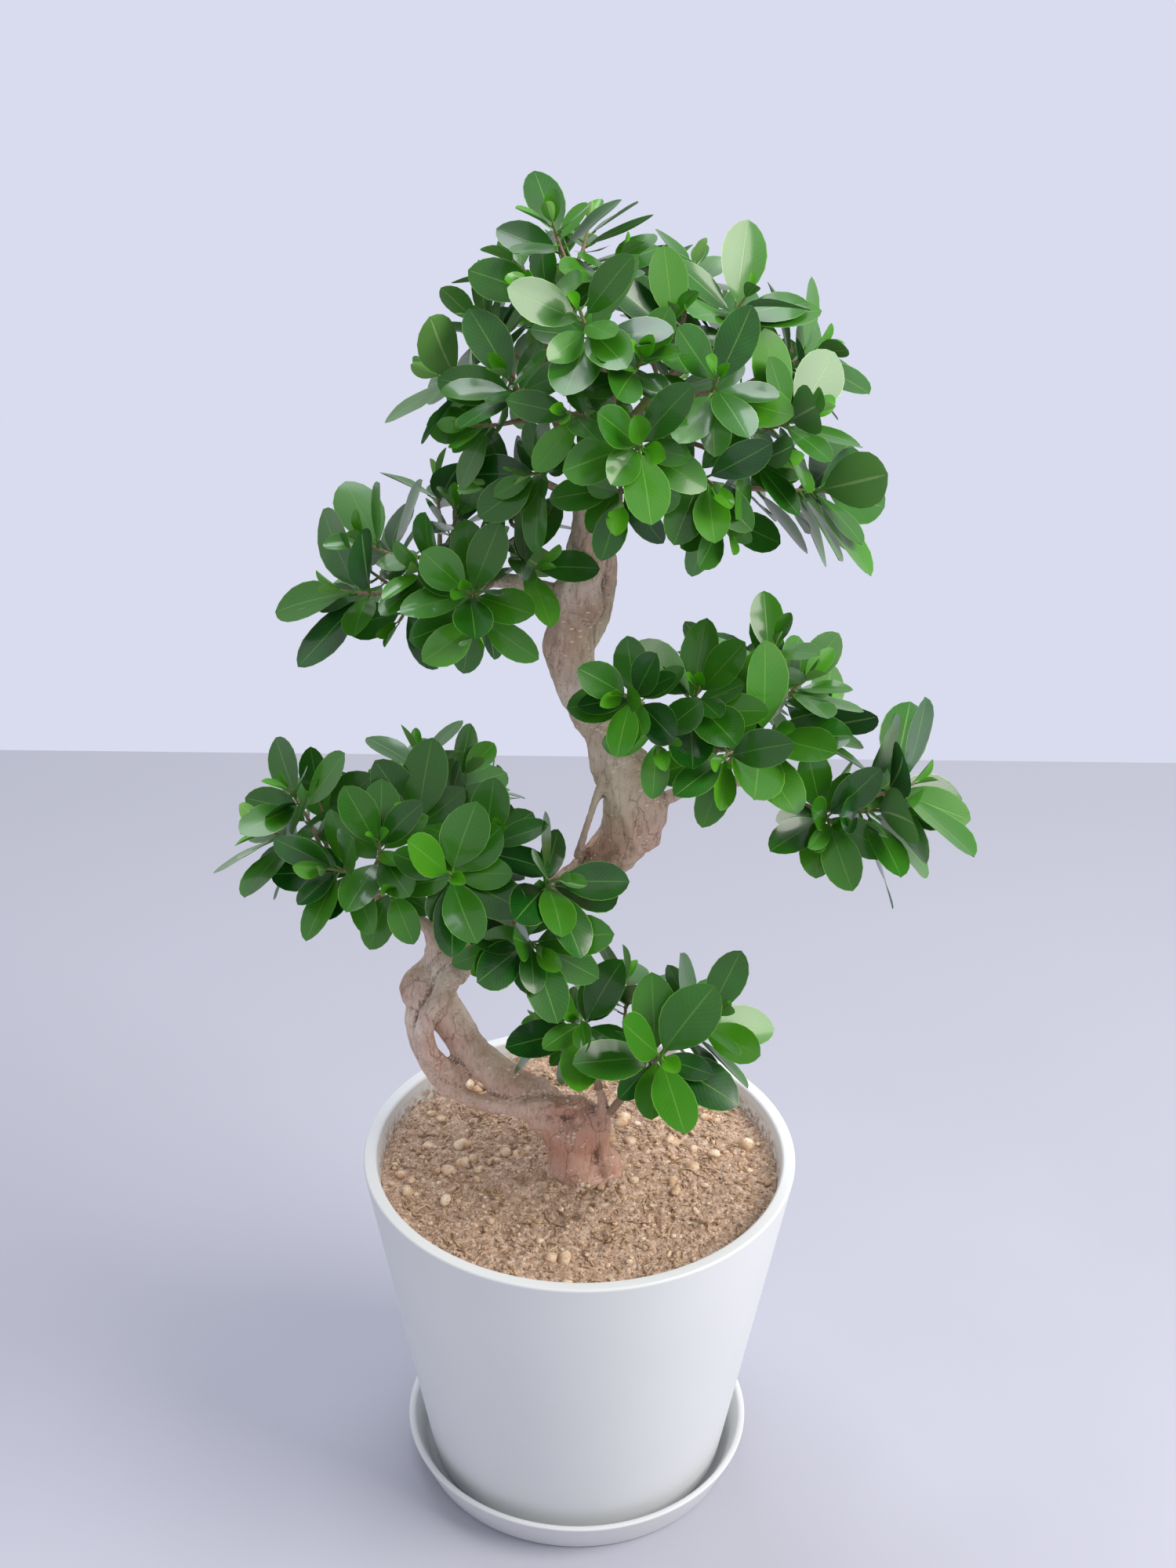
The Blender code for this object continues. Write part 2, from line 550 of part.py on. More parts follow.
def shoot_routes(limb, tip, axis):
    """Lines a shoot may take, the likeliest first: it forks from its limb and ends along its axis."""
    reach = min((tip - place).length for place, _ in limb)
    behind = tip - axis * reach
    forks = [place for place, _ in limb if (place - limb[0][0]).length > FORK_CLEARANCE]
    for root in sorted(forks, key=lambda place: (place - behind).length):
        for share in SWINGS_TRIED:
            yield shoot_line(root, tip - axis * share * (tip - root).length, tip, axis)


def shoot_line(root, swing, tip, axis):
    """A shoot's points and radii from its fork, by way of its swing, to the end of its bud."""
    line = []
    for i in range(SHOOT_PIECES + 1):
        t = i / SHOOT_PIECES
        radius = SHOOT_BASE_RADIUS + (SHOOT_TIP_RADIUS - SHOOT_BASE_RADIUS) * t
        line.append((root * (1 - t) ** 2 + swing * 2 * t * (1 - t) + tip * t**2, radius))
    return [*line, (tip + axis * BUD, BUD_TIP_RADIUS)]


def back_from_tip(line, distance):
    """The point of a shoot's line this far below its tip."""
    for (low, _), (high, _) in zip(line[-3::-1], line[-2:0:-1], strict=True):
        span = (high - low).length
        if distance <= span:
            return high.lerp(low, distance / span)
        distance -= span
    return line[0][0]


def leaf_places(line, axis, longest, count, first_turn):
    """Each leaf of a shoot, from the youngest down: foot, turn round the shoot, spread and length."""
    side = axis.orthogonal().normalized()
    shoot_length = sum((b - a).length for (a, _), (b, _) in zip(line[:-1], line[1:-1], strict=False))
    spacing = min(INTERNODE, LEAFY_SHARE * shoot_length / count)
    for i in range(BUD_LEAVES, count):
        age = i / (count - 1)
        spread = math.radians(LEAST_SPREAD + (MOST_SPREAD - LEAST_SPREAD) * age**SPREAD_CURVE)
        length = longest * TREE_MM * (1.0 - OLD_SHRINK * max(0.0, age - OLD_FROM))
        length *= YOUNG_LENGTH + (1.0 - YOUNG_LENGTH) * min(1.0, i / FULL_LENGTH_FROM)
        turn = math.radians(first_turn + LEAF_TURN * i)
        yield back_from_tip(line, i * spacing), side, turn, spread, length


def leaf_frame(axis, side, turn, spread):
    """The way a leaf points and the way its upper face looks, which leans towards the light."""
    out = Matrix.Rotation(turn, 3, axis) @ side
    along = axis * math.cos(spread) + out * math.sin(spread)
    face = axis * math.sin(spread) - out * math.cos(spread)
    face = face + LIGHT_PULL * LIGHT
    return along, (face - along * face.dot(along)).normalized()


def leaf_solid(foot, along, face, length, start=0.0):
    """Points and faces of one leaf: a pointed blade, drooping to its tip, with a keel under its midrib."""
    across = along.cross(face)

    def place(share, half_width, depth=0.0):
        middle = foot + along * length * share - face * (length * LEAF_DROOP * share**2 + depth)
        return middle + across * (length * LEAF_WIDTH * half_width)

    (low, low_half), (high, high_half) = LEAF_SHOULDER, LEAF_BROAD_END
    rim = [place(start, 0), place(low, -low_half), place(high, -high_half)]
    rim += [place(1.0, 0), place(high, high_half), place(low, low_half)]
    keel = place(LEAF_KEEL_AT, 0, LEAF_KEEL)
    faces = [(0, 5, 1), (1, 5, 2), (2, 5, 4), (2, 4, 3)]
    faces += [(i, (i + 1) % 6, 6) for i in range(6)]
    return [*rim, keel], faces


def guarded_leaf(foot, along, face, length, start=0.0):
    """A leaf with copies above and below it, which keep its room free."""
    points, faces = [], []
    for lift in (-LEAF_GUARD, 0.0, LEAF_GUARD):
        more, its_faces = leaf_solid(foot + face * lift, along, face, length, start)
        faces += [tuple(i + len(points) for i in polygon) for polygon in its_faces]
        points += more
    return points, faces


def clear_of(trial, obstacles):
    """Whether a trial shape touches none of the obstacles."""
    tree, centre, radius = obstacle(*trial)
    return not any((centre - other_centre).length < radius + other_radius and tree.overlap(other)
                   for other, other_centre, other_radius in obstacles)


def obstacle(points, faces):
    low = Vector([min(p[k] for p in points) for k in range(3)])
    high = Vector([max(p[k] for p in points) for k in range(3)])
    return BVHTree.FromPolygons(points, faces), (low + high) / 2, (high - low).length / 2


def polygons_of(body):
    """Points and faces of a body as its modifiers leave it."""
    graph = bpy.context.evaluated_depsgraph_get()
    mesh = body.evaluated_get(graph).to_mesh()
    return [v.co.copy() for v in mesh.vertices], [tuple(p.vertices) for p in mesh.polygons]


def place_leaf(foot, axis, side, turn, spread, length, all_round, same_shoot):
    """The leaf nearest its own place that is clear of what already grows there, or None."""
    for scale in SCALES_TRIED:
        for lean in SPREADS_TRIED:
            for twist in TURNS_TRIED:
                turned_to = turn + math.radians(twist)
                along, face = leaf_frame(axis, side, turned_to, spread + math.radians(lean))
                leaf = (foot, along, face, length * scale)
                clear = clear_of(guarded_leaf(*leaf, LEAF_NECK), same_shoot)
                if clear and clear_of(guarded_leaf(*leaf), all_round):
                    return leaf
    return None


def place_shoot(name, limb, tip, axis, obstacles):
    """The line and the body of a shoot that is clear of the wood and of the other sprays' limbs."""
    routes = list(shoot_routes(limb, tip, axis))
    for line in [*routes, routes[0]]:
        stem = tube(name, line, LEAF_GREEN, extra=CLEARANCE, resolution=0)
        clear = clear_of(polygons_of(stem), obstacles)
        bpy.data.objects.remove(stem)
        if clear:
            break
    else:
        print(name, "touches something on every line tried")
    return line, tube(name, line, LEAF_GREEN, resolution=0)


def make_sprays(wood):
    """Every limb and shoot first, then the leaves, each turned until it is clear of all the rest."""
    limbs = {name: spray_routes(spray)[1] for name, spray in SPRAYS.items()}
    bodies = {name: tube(name, limb, LEAF_GREEN, resolution=1, collection=parts)
              for name, limb in limbs.items()}
    solid = {name: obstacle(*polygons_of(body)) for name, body in {**bodies, **wood}.items()}
    shoots, stems = [], {name: [] for name in SPRAYS}
    for name, spray in SPRAYS.items():
        for number, (x, y, z, heading, rise, longest, count) in enumerate(spray["shoots"]):
            axis = direction(heading, rise)
            others = [found for owner, found in solid.items()
                      if owner != name and not owner.startswith(name + ":")]
            line, stem = place_shoot(f"{name}_{number}", limbs[name], tree_point(x, y, z), axis, others)
            solid[f"{name}:{number}"] = obstacle(*polygons_of(stem))
            stems[name].append(stem)
            shoots.append((name, number, line, axis, longest, count))
    leaves = []
    for name, number, line, axis, longest, count in shoots:
        all_round = [found for owner, found in solid.items() if owner != f"{name}:{number}"] + leaves
        same_shoot = []
        for foot, side, turn, spread, length in leaf_places(line, axis, longest, count, number * SHOOT_TURN):
            found = place_leaf(foot, axis, side, turn, spread, length, all_round, same_shoot)
            if found is None:
                print(name, number, "has no room for a leaf")
                continue
            points, faces = leaf_solid(*found)
            mesh = bpy.data.meshes.new(f"{name}_leaf")
            mesh.from_pydata(points, [], faces)
            stems[name].append(add_object(f"{name}_leaf_{number}", mesh, LEAF_GREEN, helpers))
            leaves.append(obstacle(points, faces))
            same_shoot.append(obstacle(*leaf_solid(*found, LEAF_NECK)))
    for name, body in bodies.items():
        combine(body, joined(name + "_shoots", stems[name], LEAF_GREEN), "UNION")
    print(len(leaves), "leaves")


make_saucer()
pot = make_pot()
trunk, root_hole = make_wood()
soil = make_soil(root_hole)
bpy.context.view_layer.update()
make_sprays({"trunk": trunk, "pot": pot, "soil": soil})
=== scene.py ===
import math
import random

import bmesh
import bpy
import numpy as np
from mathutils import Matrix, Vector, noise
from mathutils.bvhtree import BVHTree


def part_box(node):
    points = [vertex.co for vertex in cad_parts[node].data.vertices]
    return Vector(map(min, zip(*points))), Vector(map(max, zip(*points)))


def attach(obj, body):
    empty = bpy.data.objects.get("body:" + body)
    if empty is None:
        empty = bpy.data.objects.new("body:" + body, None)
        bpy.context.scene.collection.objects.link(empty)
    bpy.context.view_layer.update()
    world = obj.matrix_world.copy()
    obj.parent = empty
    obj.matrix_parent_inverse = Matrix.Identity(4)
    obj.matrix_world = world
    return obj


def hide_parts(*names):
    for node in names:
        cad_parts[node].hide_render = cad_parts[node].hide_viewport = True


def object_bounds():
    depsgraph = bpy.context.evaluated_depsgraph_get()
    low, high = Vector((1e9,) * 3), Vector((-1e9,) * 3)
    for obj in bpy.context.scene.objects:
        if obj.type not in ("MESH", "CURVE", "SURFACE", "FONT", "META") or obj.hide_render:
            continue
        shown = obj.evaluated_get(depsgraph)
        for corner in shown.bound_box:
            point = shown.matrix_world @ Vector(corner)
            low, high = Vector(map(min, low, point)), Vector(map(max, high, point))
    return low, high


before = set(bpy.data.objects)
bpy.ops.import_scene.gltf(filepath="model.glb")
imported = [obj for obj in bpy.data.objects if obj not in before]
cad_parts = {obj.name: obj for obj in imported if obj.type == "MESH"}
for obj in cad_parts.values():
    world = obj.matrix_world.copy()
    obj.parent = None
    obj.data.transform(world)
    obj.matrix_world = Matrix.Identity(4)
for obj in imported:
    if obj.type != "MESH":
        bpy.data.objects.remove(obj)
cad_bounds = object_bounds()

MM = 0.001


# ---- Saucer --------------------------------------------------------------------------------------
# A deep plant saucer, injection moulded in white polypropylene. Its wall flares a little to a
# rounded lip, and the pot stands loose on its flat floor.

SAUCER_WALL = 5 * MM
SAUCER_FLOOR = 4 * MM
SAUCER_CORNER = 7 * MM
SAUCER_FLARE = 13.5 * MM  # from the foot out to the lip
SAUCER_UNDERSIDE = 1.5 * MM  # the underside ends this far outside the foot
SAUCER_LIP_ROUND = 2 * MM
SAUCER_FOOT_ROUND = 2.5 * MM
TURNED_STEPS = 144
SAME_POINT = 2e-6  # two points this near are one


def linear(hex_colour):
    """An sRGB hex colour as the linear RGBA that a shader socket takes."""
    channels = [int(hex_colour[i:i + 2], 16) / 255 for i in (1, 3, 5)]
    return [c / 12.92 if c <= 0.04045 else ((c + 0.055) / 1.055) ** 2.4 for c in channels] + [1.0]


def add(material, kind, inputs=None, **settings):
    """Adds a node to a material. An input takes a plain value or another node's output."""
    node = material.node_tree.nodes.new(kind)
    for name, value in settings.items():
        setattr(node, name, value)
    for name, value in (inputs or {}).items():
        if isinstance(value, bpy.types.NodeSocket):
            material.node_tree.links.new(value, node.inputs[name])
        else:
            node.inputs[name].default_value = value
    return node


def finish_named(name):
    """An empty node material with its output node."""
    made = bpy.data.materials.new(name)
    made.use_nodes = True
    made.node_tree.nodes.clear()
    return made, add(made, "ShaderNodeOutputMaterial")


def select_only(piece):
    """Leaves one object selected and active, in object mode."""
    if bpy.context.mode != "OBJECT":
        bpy.ops.object.mode_set(mode="OBJECT")
    bpy.ops.object.select_all(action="DESELECT")
    piece.hide_set(False)
    piece.select_set(True)
    bpy.context.view_layer.objects.active = piece


def mesh_piece(name, points, edges=(), faces=()):
    """A new object at the origin from plain mesh data."""
    mesh = bpy.data.meshes.new(name)
    mesh.from_pydata(points, edges, faces)
    piece = bpy.data.objects.new(name, mesh)
    bpy.context.scene.collection.objects.link(piece)
    select_only(piece)
    return piece


def turned(name, outline, rounded, closed=False):
    """A piece spun about the Z axis. rounded holds (corner number, radius) pairs of the outline."""
    count = len(outline)
    edges = [(i, (i + 1) % count) for i in range(count if closed else count - 1)]
    piece = mesh_piece(name, [(r, 0.0, z) for r, z in outline], edges)
    corners = [(Vector((outline[i][0], 0.0, outline[i][1])), radius) for i, radius in rounded]
    bpy.ops.object.mode_set(mode="EDIT")
    for corner, radius in corners:
        shape = bmesh.from_edit_mesh(piece.data)
        for vertex in shape.verts:
            vertex.select = (vertex.co - corner).length < 1e-6
        shape.select_flush_mode()
        bmesh.update_edit_mesh(piece.data)
        bpy.ops.mesh.bevel(offset=radius, offset_type="OFFSET", segments=7, affect="VERTICES")
    bpy.ops.mesh.select_all(action="SELECT")
    bpy.ops.mesh.spin(steps=TURNED_STEPS, angle=math.tau, center=(0, 0, 0), axis=(0, 0, 1))
    bpy.ops.mesh.select_all(action="SELECT")
    bpy.ops.mesh.remove_doubles(threshold=SAME_POINT)
    bpy.ops.mesh.normals_make_consistent(inside=False)
    bpy.ops.object.mode_set(mode="OBJECT")
    bpy.ops.object.shade_smooth_by_angle(angle=math.radians(40))
    return piece


saucer_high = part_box("saucer")[1]
saucer_lip = saucer_high.x
saucer_foot = saucer_lip - SAUCER_FLARE
saucer = turned(
    "saucer_shell",
    [
        (0.0, SAUCER_FLOOR),
        (saucer_foot - SAUCER_WALL / 2, SAUCER_FLOOR),
        (saucer_lip - SAUCER_WALL, saucer_high.z),
        (saucer_lip, saucer_high.z),
        (saucer_foot + SAUCER_UNDERSIDE, 0.0),
        (0.0, 0.0),
    ],
    [(1, SAUCER_CORNER), (2, SAUCER_LIP_ROUND), (3, SAUCER_LIP_ROUND), (4, SAUCER_FOOT_ROUND)],
)

# Matte moulded polypropylene: the mould's fine grain spreads the light, and the white has faint
# clouds of warmer and cooler tone where the melt ran.
saucer_plastic, output = finish_named("moulded_polypropylene_saucer")
place = add(saucer_plastic, "ShaderNodeTexCoord").outputs["Object"]
clouds = add(saucer_plastic, "ShaderNodeTexNoise", {"Vector": place, "Scale": 14.0, "Detail": 3.0})
tone = add(saucer_plastic, "ShaderNodeMixRGB", {
    "Fac": clouds.outputs["Fac"], "Color1": linear("#d6d7d8"), "Color2": linear("#e2e4e6"),
})
grain = add(saucer_plastic, "ShaderNodeTexNoise", {"Vector": place, "Scale": 900.0, "Detail": 2.0})
relief = add(saucer_plastic, "ShaderNodeBump", {
    "Height": grain.outputs["Fac"], "Strength": 0.12, "Distance": 0.2 * MM,
})
shell = add(saucer_plastic, "ShaderNodeBsdfPrincipled", {
    "Base Color": tone.outputs["Color"], "Roughness": 0.42, "IOR": 1.49,
    "Normal": relief.outputs["Normal"],
})
saucer_plastic.node_tree.links.new(shell.outputs["BSDF"], output.inputs["Surface"])
saucer.data.materials.append(saucer_plastic)
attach(saucer, "root")
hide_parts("saucer")


# ---- Pot -----------------------------------------------------------------------------------------
# A tapered round pot in the same white polypropylene, with a flat rim 9 mm wide, rounded on both
# edges, and a drain hole in its floor. It is filled with soil to 17 mm below the rim.

POT_WALL = 9.2 * MM
POT_FLOOR = 10 * MM
POT_FOOT_RADIUS = 106 * MM
POT_RIM_ROUND = 2 * MM
POT_FOOT_ROUND = 5 * MM
POT_FLOOR_ROUND = 4 * MM
DRAIN_RADIUS = 11 * MM
SOIL_MOUND = 5 * MM  # the soil's middle stands this far above its edge
DUST_BAND = (3 * MM, 12 * MM)  # full this near the soil's edge, and gone this far from it

pot_low, pot_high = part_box("pot")
soil_low, soil_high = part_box("soil")
rim_radius = pot_high.x
pot_height = pot_high.z - pot_low.z
flare = (rim_radius - POT_FOOT_RADIUS) / pot_height
soil_edge = soil_high.z - SOIL_MOUND
pot = turned(
    "pot_shell",
    [
        (rim_radius - POT_WALL, pot_high.z),
        (rim_radius, pot_high.z),
        (POT_FOOT_RADIUS, pot_low.z),
        (DRAIN_RADIUS, pot_low.z),
        (DRAIN_RADIUS, pot_low.z + POT_FLOOR),
        (POT_FOOT_RADIUS + flare * POT_FLOOR - POT_WALL, pot_low.z + POT_FLOOR),
    ],
    [(0, POT_RIM_ROUND), (1, POT_RIM_ROUND), (2, POT_FOOT_ROUND), (5, POT_FLOOR_ROUND)],
    closed=True,
)

# The same matte polypropylene, thick enough to look like glazed clay. Watering has left a little
# brown dust on the inner wall just above the soil.
pot_plastic, output = finish_named("moulded_polypropylene_pot")
place = add(pot_plastic, "ShaderNodeTexCoord").outputs["Object"]
clouds = add(pot_plastic, "ShaderNodeTexNoise", {"Vector": place, "Scale": 9.0, "Detail": 4.0})
tone = add(pot_plastic, "ShaderNodeMixRGB", {
    "Fac": clouds.outputs["Fac"], "Color1": linear("#dfe2e2"), "Color2": linear("#e8ebec"),
})
axes = add(pot_plastic, "ShaderNodeSeparateXYZ", {"Vector": place})
across = add(pot_plastic, "ShaderNodeCombineXYZ", {"X": axes.outputs["X"], "Y": axes.outputs["Y"]})
radius = add(pot_plastic, "ShaderNodeVectorMath", {0: across.outputs["Vector"]}, operation="LENGTH")
inside = add(pot_plastic, "ShaderNodeMath", {
    0: radius.outputs["Value"], 1: rim_radius - POT_WALL * 0.7,
}, operation="LESS_THAN")
above_soil = add(pot_plastic, "ShaderNodeMath", {
    0: axes.outputs["Z"], 1: soil_edge,
}, operation="SUBTRACT")
above_soil = add(pot_plastic, "ShaderNodeMath", {0: above_soil.outputs["Value"]}, operation="ABSOLUTE")
low_band = add(pot_plastic, "ShaderNodeMapRange", {
    "Value": above_soil.outputs["Value"], "From Min": DUST_BAND[0], "From Max": DUST_BAND[1],
    "To Min": 1.0, "To Max": 0.0,
})
specks = add(pot_plastic, "ShaderNodeTexNoise", {"Vector": place, "Scale": 260.0, "Detail": 5.0})
speckled = add(pot_plastic, "ShaderNodeMapRange", {
    "Value": specks.outputs["Fac"], "From Min": 0.42, "From Max": 0.62,
})
dust = add(pot_plastic, "ShaderNodeMath", {
    0: inside.outputs["Value"], 1: low_band.outputs["Result"],
}, operation="MULTIPLY")
dust = add(pot_plastic, "ShaderNodeMath", {
    0: dust.outputs["Value"], 1: speckled.outputs["Result"],
}, operation="MULTIPLY")
dusty = add(pot_plastic, "ShaderNodeMixRGB", {
    "Fac": dust.outputs["Value"], "Color1": tone.outputs["Color"], "Color2": linear("#a98c70"),
})
grain = add(pot_plastic, "ShaderNodeTexNoise", {"Vector": place, "Scale": 900.0, "Detail": 2.0})
relief = add(pot_plastic, "ShaderNodeBump", {
    "Height": grain.outputs["Fac"], "Strength": 0.12, "Distance": 0.2 * MM,
})
shell = add(pot_plastic, "ShaderNodeBsdfPrincipled", {
    "Base Color": dusty.outputs["Color"], "Roughness": 0.42, "IOR": 1.49,
    "Normal": relief.outputs["Normal"],
})
pot_plastic.node_tree.links.new(shell.outputs["BSDF"], output.inputs["Surface"])
pot.data.materials.append(pot_plastic)
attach(pot, "root")
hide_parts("pot")


# ---- Potting soil --------------------------------------------------------------------------------
# A sandy bonsai mix of peat crumbs, bark fibres and pumice grit, dry on top. It fills the pot, a
# little higher in the middle, and is heaped against the roots.

SOIL_GRID = 1.2 * MM
SOIL_HEAP = 7 * MM
SOIL_HEAP_REACH = 30 * MM
SOIL_EDGE_GAP = 0.2 * MM  # to the pot's wall, at the soil's top and at its foot
SOIL_FOOT_GAP = 0.3 * MM
SWELL = (26 * MM, 7 * MM)  # size and strength
CLODS = (7 * MM, 3 * MM)
GRAINS = (4 * MM, 3.2 * MM)
FIBRE_LENGTH = (4, 15)  # millimetres
FIBRE_WIDTH = (0.25, 0.6)
FIBRE_LIFT = 0.6 * MM
chance = random.Random(7)


def bvh_of(piece):
    """A search tree of an object's own mesh."""
    mesh = piece.data
    return BVHTree.FromPolygons([v.co for v in mesh.vertices], [p.vertices[:] for p in mesh.polygons])


def merged_copy(node, name):
    """A copy of a CAD node as a new object, with its loose triangles joined up."""
    copy = mesh_piece(name, [])
    copy.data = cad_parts[node].data.copy()
    copy.data.name = name
    copy.data.materials.clear()
    copy.data.polygons.foreach_set("material_index", [0] * len(copy.data.polygons))
    select_only(copy)
    bpy.ops.object.mode_set(mode="EDIT")
    bpy.ops.mesh.select_all(action="SELECT")
    bpy.ops.mesh.remove_doubles(threshold=SAME_POINT)
    bpy.ops.object.mode_set(mode="OBJECT")
    return copy


def displaced(piece, texture_kind, size, strength, direction="NORMAL", **settings):
    """Moves the surface by a procedural texture of the given size in metres."""
    texture = bpy.data.textures.new(f"{piece.name}_{texture_kind.lower()}", texture_kind)
    texture.noise_scale = size
    for name, value in settings.items():
        setattr(texture, name, value)
    modifier = piece.modifiers.new("relief", "DISPLACE")
    modifier.texture = texture
    modifier.strength = strength
    modifier.direction = direction
    modifier.texture_coords = "LOCAL"
    select_only(piece)
    bpy.ops.object.modifier_apply(modifier="relief")


def copies_of(name, shape, places, flat=False):
    """One mesh object holding a copy of shape at each 4x4 matrix."""
    base = np.array([v.co[:] + (1.0,) for v in shape.data.vertices])
    points = np.concatenate([base @ np.array(place).T for place in places])[:, :3]
    faces = [
        [corner + number * len(base) for corner in face.vertices]
        for number in range(len(places))
        for face in shape.data.polygons
    ]
    made = mesh_piece(name, points.tolist(), faces=faces)
    if not flat:
        bpy.ops.object.shade_smooth()
    return made


trunk_tree = bvh_of(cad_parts["trunk"])
soil_edge_radius = POT_FOOT_RADIUS + flare * (soil_edge - pot_low.z) - POT_WALL - SOIL_EDGE_GAP
soil_foot_radius = POT_FOOT_RADIUS + flare * POT_FLOOR - POT_WALL - SOIL_FOOT_GAP
bpy.ops.object.select_all(action="DESELECT")
steps = round(2 * soil_edge_radius / SOIL_GRID)
bpy.ops.mesh.primitive_grid_add(x_subdivisions=steps, y_subdivisions=steps, size=2 * soil_edge_radius)
soil = bpy.context.object
soil.name = soil.data.name = "soil_body"
shape = bmesh.new()
shape.from_mesh(soil.data)
for vertex in shape.verts:
    # Squares turned into rings, so that the edge of the grid is the round edge of the soil.
    ring = max(abs(vertex.co.x), abs(vertex.co.y))
    length = vertex.co.to_2d().length
    if length > 0:
        blend = (ring / soil_edge_radius) ** 3
        vertex.co.xy = vertex.co.xy * ((1 - blend) + blend * ring / length)
    share = min(1.0, vertex.co.to_2d().length / soil_edge_radius)
    vertex.co.z = soil_edge + SOIL_MOUND * math.cos(share * math.pi / 2)
    to_wood = trunk_tree.find_nearest(vertex.co)[3]
    vertex.co.z += SOIL_HEAP * max(0.0, 1 - to_wood / SOIL_HEAP_REACH) ** 2
shape.to_mesh(soil.data)
shape.free()
displaced(soil, "CLOUDS", *SWELL, "Z", noise_depth=2)
displaced(soil, "VORONOI", *CLODS, "Z", distance_metric="DISTANCE")
displaced(soil, "CLOUDS", *GRAINS, "Z", noise_depth=3)
soil_tree = bvh_of(soil)
bpy.ops.object.mode_set(mode="EDIT")
bpy.ops.mesh.select_mode(type="EDGE")
bpy.ops.mesh.select_all(action="DESELECT")
bpy.ops.mesh.select_non_manifold()
bpy.ops.mesh.extrude_region_move(TRANSFORM_OT_translate={"value": (0, 0, 0)})
shape = bmesh.from_edit_mesh(soil.data)
bottom_edges = [edge for edge in shape.edges if edge.select]
for vertex in {v for edge in bottom_edges for v in edge.verts}:
    vertex.co.xy = vertex.co.xy.normalized() * soil_foot_radius
    vertex.co.z = soil_low.z
bmesh.ops.holes_fill(shape, edges=bottom_edges, sides=0)
bmesh.ops.recalc_face_normals(shape, faces=shape.faces)
bmesh.update_edit_mesh(soil.data)
bpy.ops.object.mode_set(mode="OBJECT")
bpy.ops.object.shade_smooth_by_angle(angle=math.radians(50))


def on_soil(x, y):
    """Height of the soil's surface."""
    hit = soil_tree.ray_cast(Vector((x, y, 1.0)), Vector((0, 0, -1)))[0]
    return hit.z if hit else soil_edge


def scattered(count, smallest, largest, sunk, small_bias=2.6):
    """Matrices for stones that lie half sunk in the soil, mostly small ones."""
    places = []
    for _ in range(count):
        size = smallest + (largest - smallest) * chance.random() ** small_bias
        reach = (soil_edge_radius - size * 0.75) * math.sqrt(chance.random())
        turn = chance.uniform(0, math.tau)
        x, y = reach * math.cos(turn), reach * math.sin(turn)
        tumble = chance.uniform(0, math.tau)
        axis = Vector((chance.gauss(0, 1), chance.gauss(0, 1), 1)).normalized()
        spin = Matrix.Rotation(tumble, 4, axis)
        across, upright = chance.uniform(0.3, 0.5), chance.uniform(0.25, 0.42)
        sizes = Matrix.Diagonal((size / 2, size * across, size * upright, 1))
        place = Matrix.Translation((x, y, on_soil(x, y) + size * (0.2 - sunk * chance.random())))
        heading = Matrix.Rotation(chance.uniform(0, math.tau), 4, "Z")
        places.append(place @ heading @ sizes @ spin)
    return places


bpy.ops.object.select_all(action="DESELECT")
bpy.ops.mesh.primitive_ico_sphere_add(subdivisions=1, radius=1.0)
crumb = bpy.context.object
for vertex in crumb.data.vertices:
    vertex.co *= chance.uniform(0.78, 1.12)
bpy.ops.object.select_all(action="DESELECT")
bpy.ops.mesh.primitive_ico_sphere_add(subdivisions=2, radius=1.0)
pebble = bpy.context.object
for vertex in pebble.data.vertices:
    vertex.co *= chance.uniform(0.8, 1.12)
bpy.ops.object.select_all(action="DESELECT")
bpy.ops.mesh.primitive_cylinder_add(vertices=4, radius=1.0, depth=2.0)
fibre = bpy.context.object
bpy.ops.object.mode_set(mode="EDIT")
bpy.ops.mesh.select_all(action="SELECT")
bpy.ops.mesh.subdivide(number_cuts=1)
bpy.ops.object.mode_set(mode="OBJECT")
for vertex in fibre.data.vertices:
    vertex.co.x += 1.6 * (1 - vertex.co.z ** 2)


def strands(count):
    """Matrices for bark fibres that lie on the soil."""
    places = []
    for _ in range(count):
        length, width = chance.uniform(*FIBRE_LENGTH) * MM, chance.uniform(*FIBRE_WIDTH) * MM
        reach = (soil_edge_radius - length) * math.sqrt(chance.random())
        turn = chance.uniform(0, math.tau)
        x, y = reach * math.cos(turn), reach * math.sin(turn)
        tilt = Matrix.Rotation(math.radians(chance.uniform(72, 100)), 4, "X")
        heading = Matrix.Rotation(chance.uniform(0, math.tau), 4, "Z")
        sizes = Matrix.Diagonal((width * 1.6, width, length / 2, 1))
        lift = on_soil(x, y) + width + FIBRE_LIFT
        places.append(Matrix.Translation((x, y, lift)) @ heading @ tilt @ sizes)
    return places


# Peat and clay crumbs: rough, dry and matte. The colour changes from crumb to crumb, and the low
# ground between them is darkened with painted shade.
peat, output = finish_named("dry_peat_and_clay_crumbs")
place = add(peat, "ShaderNodeTexCoord").outputs["Object"]
cells = add(peat, "ShaderNodeTexVoronoi", {"Vector": place, "Scale": 420.0, "Randomness": 1.0})
patches = add(peat, "ShaderNodeTexNoise", {"Vector": place, "Scale": 38.0, "Detail": 5.0})
fine = add(peat, "ShaderNodeTexNoise", {"Vector": place, "Scale": 620.0, "Detail": 5.0, "Roughness": 0.7})
cell_tone = add(peat, "ShaderNodeSeparateXYZ", {"Vector": cells.outputs["Color"]})
base = add(peat, "ShaderNodeMixRGB", {
    "Fac": patches.outputs["Fac"], "Color1": linear("#ad8c74"), "Color2": linear("#ccb098"),
})
